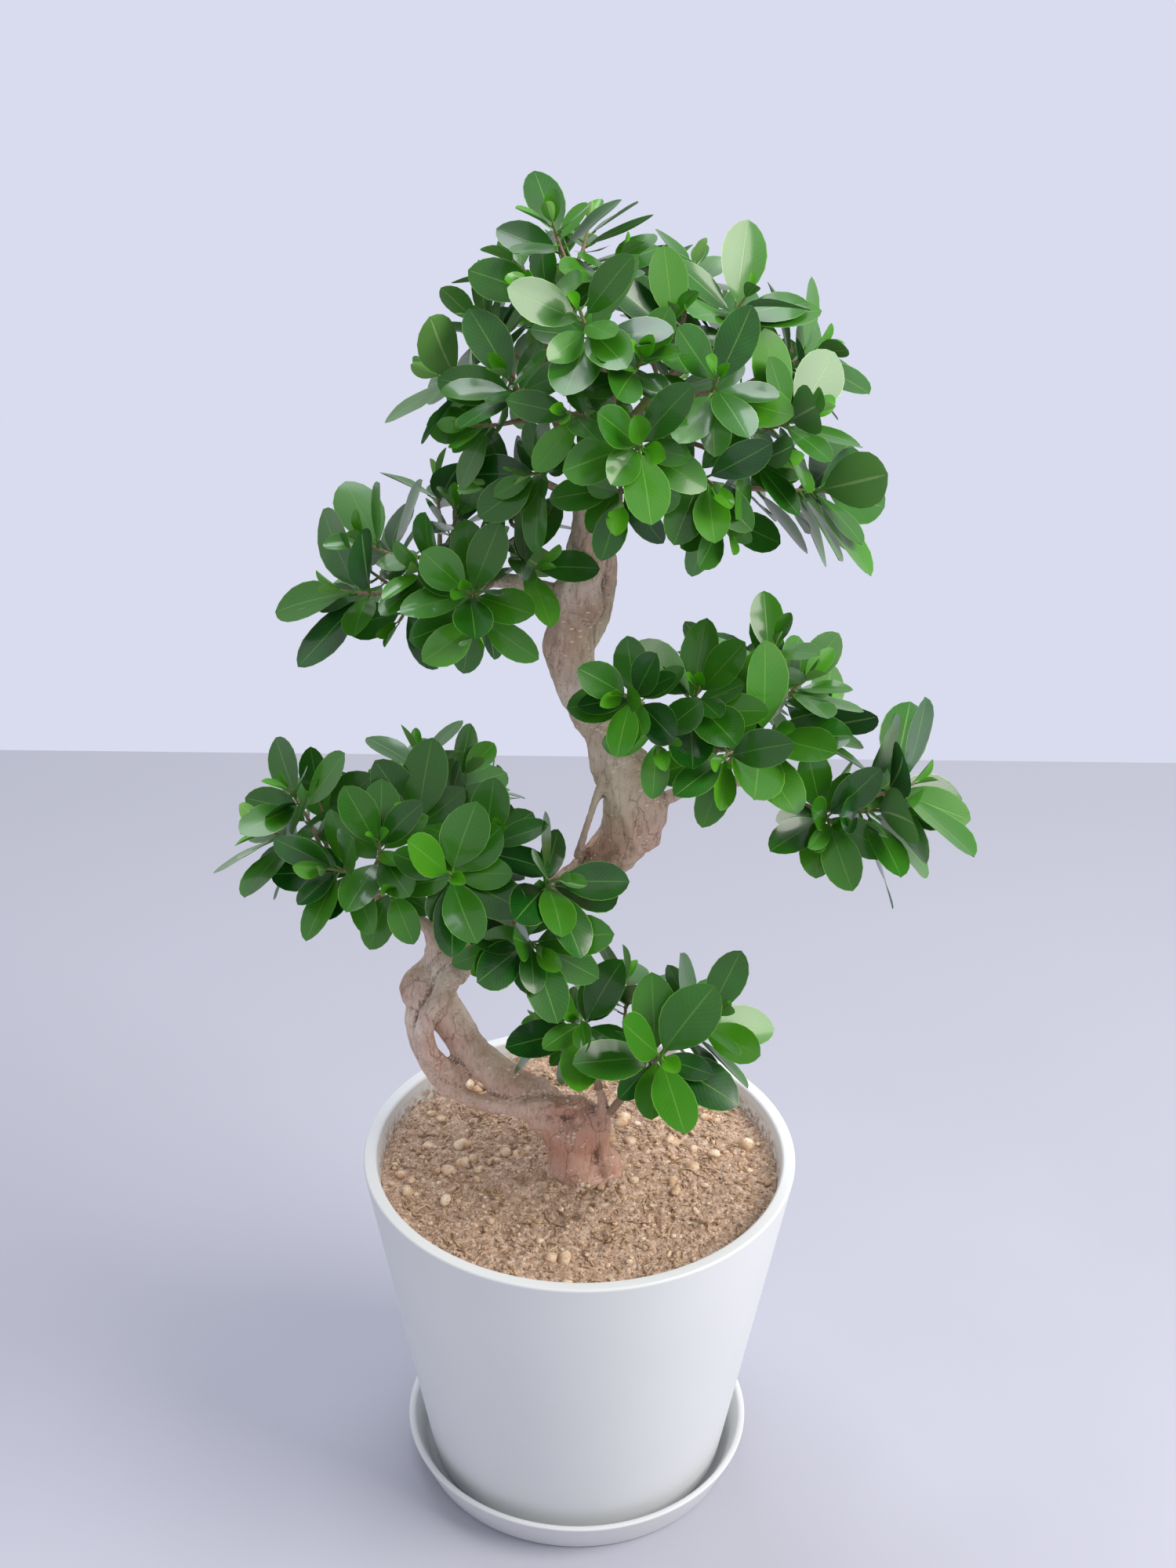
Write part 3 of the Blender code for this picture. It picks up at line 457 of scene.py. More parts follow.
crumbs = add(peat, "ShaderNodeMapRange", {
    "Value": cell_tone.outputs["X"], "From Min": 0.45, "From Max": 1.0, "To Min": 0.0, "To Max": 0.75,
})
crumbled = add(peat, "ShaderNodeMixRGB", {
    "Fac": crumbs.outputs["Result"], "Color1": base.outputs["Color"], "Color2": linear("#f0d8c0"),
})
# Painted shade: where the fine relief dips between the crumbs, the soil is darkened.
gap_shade = add(peat, "ShaderNodeMapRange", {
    "Value": fine.outputs["Fac"], "From Min": 0.48, "From Max": 0.32, "To Min": 0.0, "To Max": 0.9,
})
shaded = add(peat, "ShaderNodeMixRGB", {
    "Fac": gap_shade.outputs["Result"], "Color1": crumbled.outputs["Color"], "Color2": linear("#6b5040"),
})
height = add(peat, "ShaderNodeMath", {
    0: fine.outputs["Fac"], 1: cells.outputs["Distance"],
}, operation="SUBTRACT")
relief = add(peat, "ShaderNodeBump", {
    "Height": height.outputs["Value"], "Strength": 0.8, "Distance": 1.2 * MM,
})
ground = add(peat, "ShaderNodeBsdfPrincipled", {
    "Base Color": shaded.outputs["Color"], "Roughness": 0.95, "IOR": 1.4,
    "Normal": relief.outputs["Normal"],
})
peat.node_tree.links.new(ground.outputs["BSDF"], output.inputs["Surface"])

# Pumice and baked clay grit: pale tan to ochre stones with a chalky, pitted skin, the pits darkened with
# painted shade.
pumice, output = finish_named("pumice_and_clay_grit")
place = add(pumice, "ShaderNodeTexCoord").outputs["Object"]
stones = add(pumice, "ShaderNodeTexNoise", {"Vector": place, "Scale": 120.0, "Detail": 1.0})
stone_tone = add(pumice, "ShaderNodeMapRange", {
    "Value": stones.outputs["Fac"], "From Min": 0.35, "From Max": 0.65,
})
stone = add(pumice, "ShaderNodeMixRGB", {
    "Fac": stone_tone.outputs["Result"], "Color1": linear("#cda883"), "Color2": linear("#f4e0c5"),
})
pits = add(pumice, "ShaderNodeTexNoise", {"Vector": place, "Scale": 900.0, "Detail": 4.0})
# Painted shade: the pits, where the relief dips, are darkened.
pit_shade = add(pumice, "ShaderNodeMapRange", {
    "Value": pits.outputs["Fac"], "From Min": 0.5, "From Max": 0.3, "To Min": 0.0, "To Max": 0.6,
})
stone = add(pumice, "ShaderNodeMixRGB", {
    "Fac": pit_shade.outputs["Result"], "Color1": stone.outputs["Color"], "Color2": linear("#7d5f45"),
})
relief = add(pumice, "ShaderNodeBump", {
    "Height": pits.outputs["Fac"], "Strength": 0.6, "Distance": 0.5 * MM,
})
grit = add(pumice, "ShaderNodeBsdfPrincipled", {
    "Base Color": stone.outputs["Color"], "Roughness": 0.9, "IOR": 1.4,
    "Normal": relief.outputs["Normal"],
})
pumice.node_tree.links.new(grit.outputs["BSDF"], output.inputs["Surface"])

# Shredded bark: thin strips, from grey-tan to dark brown.
fibre_bark, output = finish_named("shredded_bark_fibre")
place = add(fibre_bark, "ShaderNodeTexCoord").outputs["Object"]
strips = add(fibre_bark, "ShaderNodeTexNoise", {"Vector": place, "Scale": 90.0, "Detail": 1.0})
strip_tone = add(fibre_bark, "ShaderNodeMapRange", {
    "Value": strips.outputs["Fac"], "From Min": 0.35, "From Max": 0.65,
})
strip = add(fibre_bark, "ShaderNodeMixRGB", {
    "Fac": strip_tone.outputs["Result"], "Color1": linear("#94714f"), "Color2": linear("#d2b491"),
})
husk = add(fibre_bark, "ShaderNodeBsdfPrincipled", {
    "Base Color": strip.outputs["Color"], "Roughness": 0.9, "IOR": 1.4,
})
fibre_bark.node_tree.links.new(husk.outputs["BSDF"], output.inputs["Surface"])

soil.data.materials.append(peat)
loose = [
    (copies_of("soil_crumbs", crumb, scattered(4200, 1.6 * MM, 5.5 * MM, 0.3), flat=True), peat),
    (copies_of("soil_grit", crumb, scattered(900, 1.6 * MM, 5 * MM, 0.3), flat=True), pumice),
    (copies_of("soil_stones", pebble, scattered(170, 4 * MM, 13 * MM, 0.25, 2.2)), pumice),
    (copies_of("soil_fibres", fibre, strands(420)), fibre_bark),
]
for part, finish in loose:
    part.data.materials.append(finish)
for shape_used in (crumb, pebble, fibre):
    bpy.data.objects.remove(shape_used)
select_only(soil)
for part, _ in loose:
    part.select_set(True)
bpy.ops.object.join()
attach(soil, "root")
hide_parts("soil")


# ---- Old wood ------------------------------------------------------------------------------------
# The trunk is two ficus stems trained round each other and grown together, with surface roots at
# the foot. Thin pinkish-grey bark, dotted with pale lenticels and cracked in places. Its deepest
# creases are darkened with painted shade.

TRUNK_VOXEL = 1.7 * MM
FLUTE_DEPTH = 2.6 * MM
FLUTE_SPACING = (24 * MM, 24 * MM, 105 * MM)  # long grooves that run up the stems
LUMPS = (22 * MM, 2.2 * MM)  # size and height
WRINKLES = (6 * MM, 0.9 * MM)
STOUT = 30 * MM  # wood this thick has the full relief
UNDER_SKIN = 0.5 * MM  # where the measure of the wood's thickness starts

trunk = merged_copy("trunk", "trunk_wood")
trunk.data.remesh_voxel_size = TRUNK_VOXEL
bpy.ops.object.voxel_remesh()
bpy.ops.object.mode_set(mode="EDIT")
bpy.ops.mesh.select_all(action="SELECT")
bpy.ops.mesh.vertices_smooth(factor=0.5, repeat=10)
bpy.ops.object.mode_set(mode="OBJECT")
smooth_tree = bvh_of(trunk)
outward = [vertex.normal.copy() for vertex in trunk.data.vertices]
for vertex, normal in zip(trunk.data.vertices, outward):
    # Thin strands keep a smooth skin: the relief grows with the thickness of the wood.
    thickness = smooth_tree.ray_cast(vertex.co - normal * UNDER_SKIN, -normal)[3] or 0.0
    stoutness = min(1.0, thickness / STOUT) ** 2
    spot = Vector([along / spacing for along, spacing in zip(vertex.co, FLUTE_SPACING)])
    ridge = 1 - 2 * abs(noise.noise(spot))
    relief = FLUTE_DEPTH * (ridge ** 3 - 0.5)
    lump = LUMPS[1] * noise.noise(vertex.co / LUMPS[0])
    relief += lump + WRINKLES[1] * noise.noise(vertex.co / WRINKLES[0])
    vertex.co += normal * relief * stoutness
bpy.ops.object.shade_smooth()
# The trunk's creases, found as a cavity map, for the painted shade that darkens them.
trunk.data.color_attributes.new("creases", "FLOAT_COLOR", "POINT")
trunk.data.color_attributes.active_color = trunk.data.color_attributes["creases"]
bpy.ops.object.mode_set(mode="VERTEX_PAINT")
bpy.ops.paint.vertex_color_dirt(blur_strength=0.8, blur_iterations=1, clean_angle=math.pi, dirt_angle=0.0)
bpy.ops.object.mode_set(mode="OBJECT")

# Ficus bark: smooth and thin with a dull sheen. Its colour runs from grey-tan to a flushed pink,
# redder near the soil, with a little green algae where it stays damp.
bark, output = finish_named("ficus_bark")
place = add(bark, "ShaderNodeTexCoord").outputs["Object"]
axes = add(bark, "ShaderNodeSeparateXYZ", {"Vector": place})
patches = add(bark, "ShaderNodeTexNoise", {"Vector": place, "Scale": 26.0, "Detail": 4.0, "Roughness": 0.6})
patch_tone = add(bark, "ShaderNodeMapRange", {
    "Value": patches.outputs["Fac"], "From Min": 0.36, "From Max": 0.64,
})
skin = add(bark, "ShaderNodeMixRGB", {
    "Fac": patch_tone.outputs["Result"], "Color1": linear("#c09e88"), "Color2": linear("#f0dccb"),
})
flush = add(bark, "ShaderNodeTexNoise", {"Vector": place, "Scale": 17.0, "Detail": 2.0})
flushed = add(bark, "ShaderNodeMapRange", {
    "Value": flush.outputs["Fac"], "From Min": 0.5, "From Max": 0.68, "To Min": 0.0, "To Max": 0.6,
})
skin = add(bark, "ShaderNodeMixRGB", {
    "Fac": flushed.outputs["Result"], "Color1": skin.outputs["Color"], "Color2": linear("#d39c86"),
})
algae = add(bark, "ShaderNodeTexNoise", {"Vector": place, "Scale": 12.0, "Detail": 3.0})
damp = add(bark, "ShaderNodeMapRange", {
    "Value": algae.outputs["Fac"], "From Min": 0.36, "From Max": 0.5, "To Min": 0.55, "To Max": 0.0,
})
skin = add(bark, "ShaderNodeMixRGB", {
    "Fac": damp.outputs["Result"], "Color1": skin.outputs["Color"], "Color2": linear("#cdc3a6"),
})
foot = add(bark, "ShaderNodeMapRange", {
    "Value": axes.outputs["Z"], "From Min": 0.36, "From Max": 0.28, "To Min": 0.0, "To Max": 0.55,
})
skin = add(bark, "ShaderNodeMixRGB", {
    "Fac": foot.outputs["Result"], "Color1": skin.outputs["Color"], "Color2": linear("#cf9680"),
})
drawn_out = add(bark, "ShaderNodeMapping", {"Vector": place, "Scale": (1.0, 1.0, 0.3)})
fine = add(bark, "ShaderNodeTexNoise", {
    "Vector": drawn_out.outputs["Vector"], "Scale": 420.0, "Detail": 5.0, "Roughness": 0.65,
})
speckled = add(bark, "ShaderNodeMapRange", {
    "Value": fine.outputs["Fac"], "From Min": 0.5, "From Max": 0.3, "To Min": 0.0, "To Max": 0.5,
})
skin = add(bark, "ShaderNodeMixRGB", {
    "Fac": speckled.outputs["Result"], "Color1": skin.outputs["Color"], "Color2": linear("#80614c"),
})
flattened = add(bark, "ShaderNodeMapping", {"Vector": place, "Scale": (0.75, 0.75, 1.6)})
dots = add(bark, "ShaderNodeTexVoronoi", {"Vector": flattened.outputs["Vector"], "Scale": 230.0})
dotted = add(bark, "ShaderNodeMapRange", {
    "Value": dots.outputs["Distance"], "From Min": 0.3, "From Max": 0.2, "To Min": 0.0, "To Max": 0.9,
})
spread = add(bark, "ShaderNodeTexNoise", {"Vector": place, "Scale": 60.0, "Detail": 2.0})
spread_mask = add(bark, "ShaderNodeMapRange", {
    "Value": spread.outputs["Fac"], "From Min": 0.46, "From Max": 0.6,
})
lenticels = add(bark, "ShaderNodeMath", {
    0: dotted.outputs["Result"], 1: spread_mask.outputs["Result"],
}, operation="MULTIPLY")
skin = add(bark, "ShaderNodeMixRGB", {
    "Fac": lenticels.outputs["Value"], "Color1": skin.outputs["Color"], "Color2": linear("#f3e2d0"),
})
wander = add(bark, "ShaderNodeMixRGB", {
    "Fac": 0.02, "Color1": drawn_out.outputs["Vector"], "Color2": patches.outputs["Color"],
})
plates = add(bark, "ShaderNodeTexVoronoi", {
    "Vector": wander.outputs["Color"], "Scale": 70.0,
}, feature="DISTANCE_TO_EDGE")
cracked = add(bark, "ShaderNodeMapRange", {
    "Value": plates.outputs["Distance"], "From Min": 0.035, "From Max": 0.0, "To Min": 0.0, "To Max": 0.5,
})
cracked_zone = add(bark, "ShaderNodeMapRange", {
    "Value": flush.outputs["Fac"], "From Min": 0.45, "From Max": 0.58,
})
cracks = add(bark, "ShaderNodeMath", {
    0: cracked.outputs["Result"], 1: cracked_zone.outputs["Result"],
}, operation="MULTIPLY")
skin = add(bark, "ShaderNodeMixRGB", {
    "Fac": cracks.outputs["Value"], "Color1": skin.outputs["Color"], "Color2": linear("#7c5a48"),
})
# Painted shade: the bark is darkened in the trunk's deepest creases.
creases = add(bark, "ShaderNodeAttribute", attribute_name="creases")
crease_shade_mix = add(bark, "ShaderNodeMapRange", {
    "Value": creases.outputs["Fac"], "From Min": 0.06, "From Max": 0.015, "To Min": 0.0, "To Max": 0.7,
})
skin = add(bark, "ShaderNodeMixRGB", {
    "Fac": crease_shade_mix.outputs["Result"], "Color1": skin.outputs["Color"], "Color2": linear("#4b3527"),
})
wrinkles = add(bark, "ShaderNodeTexNoise", {
    "Vector": drawn_out.outputs["Vector"], "Scale": 170.0, "Detail": 3.0, "Distortion": 0.5,
})
height = add(bark, "ShaderNodeMath", {
    0: fine.outputs["Fac"], 1: 0.35, 2: wrinkles.outputs["Fac"],
}, operation="MULTIPLY_ADD")
height = add(bark, "ShaderNodeMath", {
    0: lenticels.outputs["Value"], 1: 0.3, 2: height.outputs["Value"],
}, operation="MULTIPLY_ADD")
height = add(bark, "ShaderNodeMath", {
    0: cracks.outputs["Value"], 1: -0.6, 2: height.outputs["Value"],
}, operation="MULTIPLY_ADD")
relief = add(bark, "ShaderNodeBump", {
    "Height": height.outputs["Value"], "Strength": 0.75, "Distance": 1.4 * MM,
})
wood = add(bark, "ShaderNodeBsdfPrincipled", {
    "Base Color": skin.outputs["Color"], "Roughness": 0.66, "IOR": 1.45,
    "Normal": relief.outputs["Normal"],
})
bark.node_tree.links.new(wood.outputs["BSDF"], output.inputs["Surface"])
trunk.data.materials.append(bark)
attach(trunk, "root")
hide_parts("trunk")


# ---- Leafy sprays --------------------------------------------------------------------------------
# Each spray is a thin limb with its shoots, buds and leaves. The leaves are leathery, obovate and
# glossy, most of them 40 to 60 mm long, in rosettes that face the light, with smaller ones between
# them. The youngest ones are yellow-green.

LEAF_ROWS = [0.0, 0.06, 0.16, 0.29, 0.44, 0.6, 0.75, 0.87, 0.95, 1.0]
PETIOLE = 0.10  # of a leaf's length
PETIOLE_RADII = (0.022, 0.015)  # at the shoot and under the blade
STALK_LENGTH = 0.2  # the petiole runs on under the blade
STALK_MIDDLE = 0.07
LEAF_HALF_WIDTH = 0.275
LEAF_THICKNESS = 0.009
SMALLEST_LEAF = 9 * MM  # from a leaf's tip to its widest point
BUD_END_AREA = (0.14e-6, 0.18e-6)  # square metres
BUD_END_EDGE = 0.9 * MM
GOLDEN_ANGLE = math.radians(137.5)  # from one leaf of a shoot to the next
LEAF_ROOM = 2.4 * MM  # between an added leaf and the wood or another shoot's leaf
ADDED_ROOM = 6 * MM  # between two added leaves
STUB_GAP = 0.7 * MM  # a face of a spray this near the trunk is its cut end
LET_IN_MM = 2.5  # how deep a cut end goes into its stub
GREEN_TIP = 16 * MM  # a shoot is green this far back from its bud
TWIG_VOXEL = 0.8 * MM
WIDEST_AT = 0.54


def half_width(share):
    """Half of the blade's width at a share of its length, 1 at the widest."""
    if share < WIDEST_AT:
        return (1 - ((WIDEST_AT - share) / WIDEST_AT) ** 2.0) ** 0.95
    return max(0.0, 1 - ((share - WIDEST_AT) / (1 - WIDEST_AT)) ** 2.3) ** 0.68


def model_leaf():
    """One flat leaf of length 1 along +Y with its face to +Z, as a closed thin blade."""
    bpy.ops.object.select_all(action="DESELECT")
    rows = len(LEAF_ROWS) - 1
    bpy.ops.mesh.primitive_grid_add(x_subdivisions=4, y_subdivisions=rows, size=2)
    leaf = bpy.context.object
    leaf.name = leaf.data.name = "leaf_pattern"
    uv_map = leaf.data.uv_layers.active or leaf.data.uv_layers.new(name="UVMap")
    uv_map.name = "leaf"
    shape = bmesh.new()
    shape.from_mesh(leaf.data)
    blade_uv = shape.loops.layers.uv.active
    for vertex in shape.verts:
        side = vertex.co.x
        row = LEAF_ROWS[round((vertex.co.y + 1) / 2 * rows)]
        width = LEAF_HALF_WIDTH * half_width(row) + 0.008 * (1 - row) ** 8
        for loop in vertex.link_loops:
            loop[blade_uv].uv = ((side + 1) / 2, row)
        vertex.co = (side * width, PETIOLE + (1 - PETIOLE) * row, 0.0)
    top_faces = list(shape.faces)
    made = bmesh.ops.duplicate(shape, geom=shape.verts[:] + shape.edges[:] + shape.faces[:])
    under = [item for item in made["geom"] if isinstance(item, bmesh.types.BMFace)]
    for vertex in {v for face in under for v in face.verts}:
        inward = min(abs(loop[blade_uv].uv.x - side) for loop in vertex.link_loops for side in (0, 1))
        vertex.co.z -= LEAF_THICKNESS * min(1.0, inward * 3)
    bmesh.ops.reverse_faces(shape, faces=under)
    for face in shape.faces:
        face.material_index = 0 if face in top_faces else 1
    made = bmesh.ops.create_cone(
        shape, cap_ends=True, segments=4,
        radius1=PETIOLE_RADII[0], radius2=PETIOLE_RADII[1], depth=STALK_LENGTH,
        matrix=Matrix.Translation((0, STALK_MIDDLE, -LEAF_THICKNESS)) @ Matrix.Rotation(-math.pi / 2, 4, "X"),
    )
    for loop in {loop for vertex in made["verts"] for loop in vertex.link_loops}:
        loop[blade_uv].uv = (0.5, 0.0)
    bmesh.ops.remove_doubles(shape, verts=shape.verts, dist=1e-4)
    shape.to_mesh(leaf.data)
    shape.free()
    return leaf


leaf_pattern = model_leaf()
pattern_points = np.array([v.co[:] for v in leaf_pattern.data.vertices])
pattern_faces = [face.vertices[:] for face in leaf_pattern.data.polygons]
pattern_finish = [face.material_index for face in leaf_pattern.data.polygons]
pattern_uv = np.array([uv.vector[:] for uv in leaf_pattern.data.uv_layers["leaf"].uv])
bpy.data.objects.remove(leaf_pattern)


def find_leaves(shape):
    """The CAD leaves as (vertices, foot, length vector, face vector).

    A leaf's tip has three neighbours: the two corners of its blade's wide end and its keel.
    """
    found = []
    for tip in shape.verts:
        if len(tip.link_edges) != 3:
            continue
        near = sorted((edge.other_vert(tip) for edge in tip.link_edges), key=lambda v: (v.co - tip.co).length)
        if (near[0].co - tip.co).length < SMALLEST_LEAF:
            continue
        *ends, keel = near
        shoulders = []
        for end in ends:
            edge = shape.edges.get((end, keel))
            shoulders += [v for face in edge.link_faces for v in face.verts if v not in (end, keel, tip)]
        end_middle = (ends[0].co + ends[1].co) / 2
        shoulder_middle = (shoulders[0].co + shoulders[1].co) / 2
        # The CAD blade's stations at 0.34, 0.72 and 1 of its length, which drops by a tenth of it.
        stations = np.linalg.inv([[0.28, -0.04816], [0.38, -0.04028]])
        steps = np.array([tip.co - end_middle, end_middle - shoulder_middle])
        along, face = (Vector(row) for row in stations @ steps)
        found.append(([tip, keel, *ends, *shoulders], tip.co - along + 0.1 * face, along, face))
    return found


def find_buds(shape):
    """The buds as (tip, direction): each ends in a square of 0.4 mm radius."""
    found = []
    for face in shape.faces:
        if not BUD_END_AREA[0] < face.calc_area() < BUD_END_AREA[1]:
            continue
        if max(e.calc_length() for e in face.edges) > BUD_END_EDGE:
            continue
        longest = max(face.edges, key=lambda e: e.calc_length())
        centre = (longest.verts[0].co + longest.verts[1].co) / 2
        if all((centre - other).length > MM for other, _ in found):
            found.append((centre, face.normal.copy()))
    return found


def grown_leaf(foot, along, face, youth):
    """The points of one leaf on its CAD place, with its own cup, droop, twist and wave."""
    length = along.length
    face = Matrix.Rotation(chance.gauss(0, 0.22) * (1 - youth), 3, along) @ face
    x, y, z = pattern_points.T
    width = chance.uniform(0.8, 1.08)
    cup = chance.uniform(-0.02, 0.16) + 0.3 * youth
    fold = chance.uniform(0.0, 0.12) + 0.25 * youth
    droop = chance.uniform(-0.02, 0.17) - 0.1 * youth
    twist = chance.gauss(0, 0.14)
    wave = chance.uniform(0.0, 0.012)
    phase = chance.uniform(0, math.tau)
    spread = x / LEAF_HALF_WIDTH
    lift = z + LEAF_HALF_WIDTH * (cup * spread ** 2 + fold * np.abs(spread) * 0.5)
    lift = lift + wave * np.sin(phase + 9 * y) * spread ** 2 - droop * y ** 2
    lift = lift + x * np.tan(twist) * y
    side_bend = chance.gauss(0, 0.03)
    x = x * width * (1 - 0.12 * youth) + side_bend * y ** 2
    sideways = along.cross(face) / length
    return (
        np.array(foot) + np.outer(y, along) + np.outer(lift, face) + np.outer(x, sideways)
    )


def leaf_tone(youth):
    """How bright a leaf's green is, from 0 to 1: old ones are dark, young ones yellow-green."""
    return min(1.0, max(0.0, chance.gauss(0.22, 0.15) + 0.65 * youth))


def young_leaves(tip, direction):
    """The last two or three leaves of a shoot, still half closed round its bud."""
    made = []
    side = direction.orthogonal().normalized()
    start = chance.uniform(0, math.tau)
    for number in range(chance.choice((2, 2, 3))):
        around = Matrix.Rotation(start + number * GOLDEN_ANGLE, 3, direction) @ side
        spread = math.radians(14 + 13 * number + chance.uniform(-4, 6))
        along = direction * math.cos(spread) + around * math.sin(spread)
        face = direction * math.sin(spread) - around * math.cos(spread)
        length = (15 + 7 * number + chance.uniform(-2, 4)) * MM
        foot = tip - direction * (4.0 + 1.2 * number) * MM
        made.append((foot, along * length, face * length, 1.0 - 0.25 * number))
    return made


def between_leaves(leaf, buds):
    """Places for a smaller leaf beside this one, a little lower on the same shoot."""
    foot, along, face, _ = leaf
    axis = min(buds, key=lambda bud: (bud[0] - foot).length)[1]
    for turn in (75, -75, 125, -125):
        around = Matrix.Rotation(math.radians(turn + chance.uniform(-12, 12)), 3, axis)
        size = chance.uniform(0.6, 0.85)
        its_face = (around @ face / face.length + Vector((0, -0.15, 0.5))).normalized()
        its_along = (around @ along).normalized() - axis * chance.uniform(0.0, 0.25)
        its_along = (its_along - its_face * its_along.dot(its_face)).normalized()
        length = along.length * size
        yield foot - axis * chance.uniform(2, 5) * MM, its_along * length, its_face * length, 0.0


def has_room(leaf, grown_before, added):
    """Whether a leaf keeps clear of the CAD's wood and leaves and of the leaves added so far."""
    foot, along, face, _ = leaf
    across = along.cross(face) / along.length
    spots = [foot + along * share - face * 0.1 * share ** 2 for share in (0.4, 0.6, 0.8, 1.0)]
    spots += [foot + along * share + across * side for share in (0.45, 0.75) for side in (-0.22, 0.22)]
    if any(grown_before.find_nearest(spot)[3] < LEAF_ROOM for spot in spots):
        return False
    if added:
        apart = np.linalg.norm(np.array(spots)[:, None] - np.array(added)[None], axis=2)
        if np.min(apart) < ADDED_ROOM:
            return False
    added.extend(spots)
    return True


def wood_of(shape, name, trunk_tree):
    """The limb and shoots of a CAD spray as smooth wood, its cut end let into the trunk's stub."""
    bmesh.ops.holes_fill(shape, edges=[e for e in shape.edges if e.is_boundary], sides=0)
    cut_end = [
        face for face in shape.faces
        if all((trunk_tree.find_nearest(v.co)[3] or 1) < STUB_GAP for v in face.verts)
    ]
    if cut_end:
        total = Vector()
        for face in cut_end:
            total += face.normal * face.calc_area()
        for vertex in {v for face in cut_end for v in face.verts}:
            vertex.co += total.normalized() * LET_IN_MM * MM
    bmesh.ops.triangulate(shape, faces=[f for f in shape.faces if len(f.verts) > 4])
    wood_piece = mesh_piece(name, [])
    shape.to_mesh(wood_piece.data)
    wood_piece.data.remesh_voxel_size = TWIG_VOXEL
    bpy.ops.object.voxel_remesh()
    bpy.ops.object.mode_set(mode="EDIT")
    bpy.ops.mesh.select_all(action="SELECT")
    bpy.ops.mesh.vertices_smooth(factor=0.5, repeat=4)
    bpy.ops.object.mode_set(mode="OBJECT")
    return wood_piece


# Young ficus bark: grey-brown with fine dark specks, turning green where a shoot is still growing.
twig_bark, output = finish_named("young_ficus_bark")
place = add(twig_bark, "ShaderNodeTexCoord").outputs["Object"]
patches = add(twig_bark, "ShaderNodeTexNoise", {"Vector": place, "Scale": 70.0, "Detail": 4.0})
skin = add(twig_bark, "ShaderNodeMixRGB", {
    "Fac": patches.outputs["Fac"], "Color1": linear("#8b6f59"), "Color2": linear("#bfa48b"),
})
fine = add(twig_bark, "ShaderNodeTexNoise", {"Vector": place, "Scale": 700.0, "Detail": 3.0})
speckled = add(twig_bark, "ShaderNodeMapRange", {
    "Value": fine.outputs["Fac"], "From Min": 0.55, "From Max": 0.3, "To Min": 0.0, "To Max": 0.5,
})
skin = add(twig_bark, "ShaderNodeMixRGB", {
    "Fac": speckled.outputs["Result"], "Color1": skin.outputs["Color"], "Color2": linear("#5d4735"),
})
growing = add(twig_bark, "ShaderNodeAttribute", attribute_name="growing")
skin = add(twig_bark, "ShaderNodeMixRGB", {
    "Fac": growing.outputs["Fac"], "Color1": skin.outputs["Color"], "Color2": linear("#7d9a45"),
})
relief = add(twig_bark, "ShaderNodeBump", {
    "Height": fine.outputs["Fac"], "Strength": 0.5, "Distance": 0.6 * MM,
})
wood = add(twig_bark, "ShaderNodeBsdfPrincipled", {
    "Base Color": skin.outputs["Color"], "Roughness": 0.6, "IOR": 1.45,
    "Normal": relief.outputs["Normal"],
})
twig_bark.node_tree.links.new(wood.outputs["BSDF"], output.inputs["Surface"])

# The leaf's face: a waxy cuticle over deep green, so it mirrors the light softly. A pale midrib,
# faint side veins 3 to 4 mm apart, and a thin bright margin.
leaf_face, output = finish_named("waxy_ficus_leaf")
uv = add(leaf_face, "ShaderNodeUVMap", uv_map="leaf")
blade = add(leaf_face, "ShaderNodeSeparateXYZ", {"Vector": uv.outputs["UV"]})
off_rib = add(leaf_face, "ShaderNodeMath", {0: blade.outputs["X"], 1: 0.5}, operation="SUBTRACT")
off_rib = add(leaf_face, "ShaderNodeMath", {0: off_rib.outputs["Value"]}, operation="ABSOLUTE")
tone = add(leaf_face, "ShaderNodeAttribute", attribute_name="tone")
green = add(leaf_face, "ShaderNodeMixRGB", {
    "Fac": tone.outputs["Fac"], "Color1": linear("#014503"), "Color2": linear("#62b81c"),
})
place = add(leaf_face, "ShaderNodeTexCoord").outputs["Object"]
mottle = add(leaf_face, "ShaderNodeTexNoise", {"Vector": place, "Scale": 55.0, "Detail": 3.0})
mottled = add(leaf_face, "ShaderNodeMapRange", {
    "Value": mottle.outputs["Fac"], "From Min": 0.4, "From Max": 0.7, "To Min": 0.0, "To Max": 0.3,
})
green = add(leaf_face, "ShaderNodeMixRGB", {
    "Fac": mottled.outputs["Result"], "Color1": green.outputs["Color"], "Color2": linear("#1f7d14"),
})
slant = add(leaf_face, "ShaderNodeMath", {
    0: off_rib.outputs["Value"], 1: -0.55, 2: blade.outputs["Y"],
}, operation="MULTIPLY_ADD")
veins = add(leaf_face, "ShaderNodeMath", {0: slant.outputs["Value"], 1: 88.0}, operation="MULTIPLY")
veins = add(leaf_face, "ShaderNodeMath", {0: veins.outputs["Value"]}, operation="SINE")
vein = add(leaf_face, "ShaderNodeMapRange", {
    "Value": veins.outputs["Value"], "From Min": 0.8, "From Max": 1.0, "To Min": 0.0, "To Max": 0.06,
})
green = add(leaf_face, "ShaderNodeMixRGB", {
    "Fac": vein.outputs["Result"], "Color1": green.outputs["Color"], "Color2": linear("#93bf5c"),
})
rib = add(leaf_face, "ShaderNodeMapRange", {
    "Value": off_rib.outputs["Value"], "From Min": 0.024, "From Max": 0.008, "To Min": 0.0, "To Max": 0.5,
})
green = add(leaf_face, "ShaderNodeMixRGB", {
    "Fac": rib.outputs["Result"], "Color1": green.outputs["Color"], "Color2": linear("#6fa540"),
})
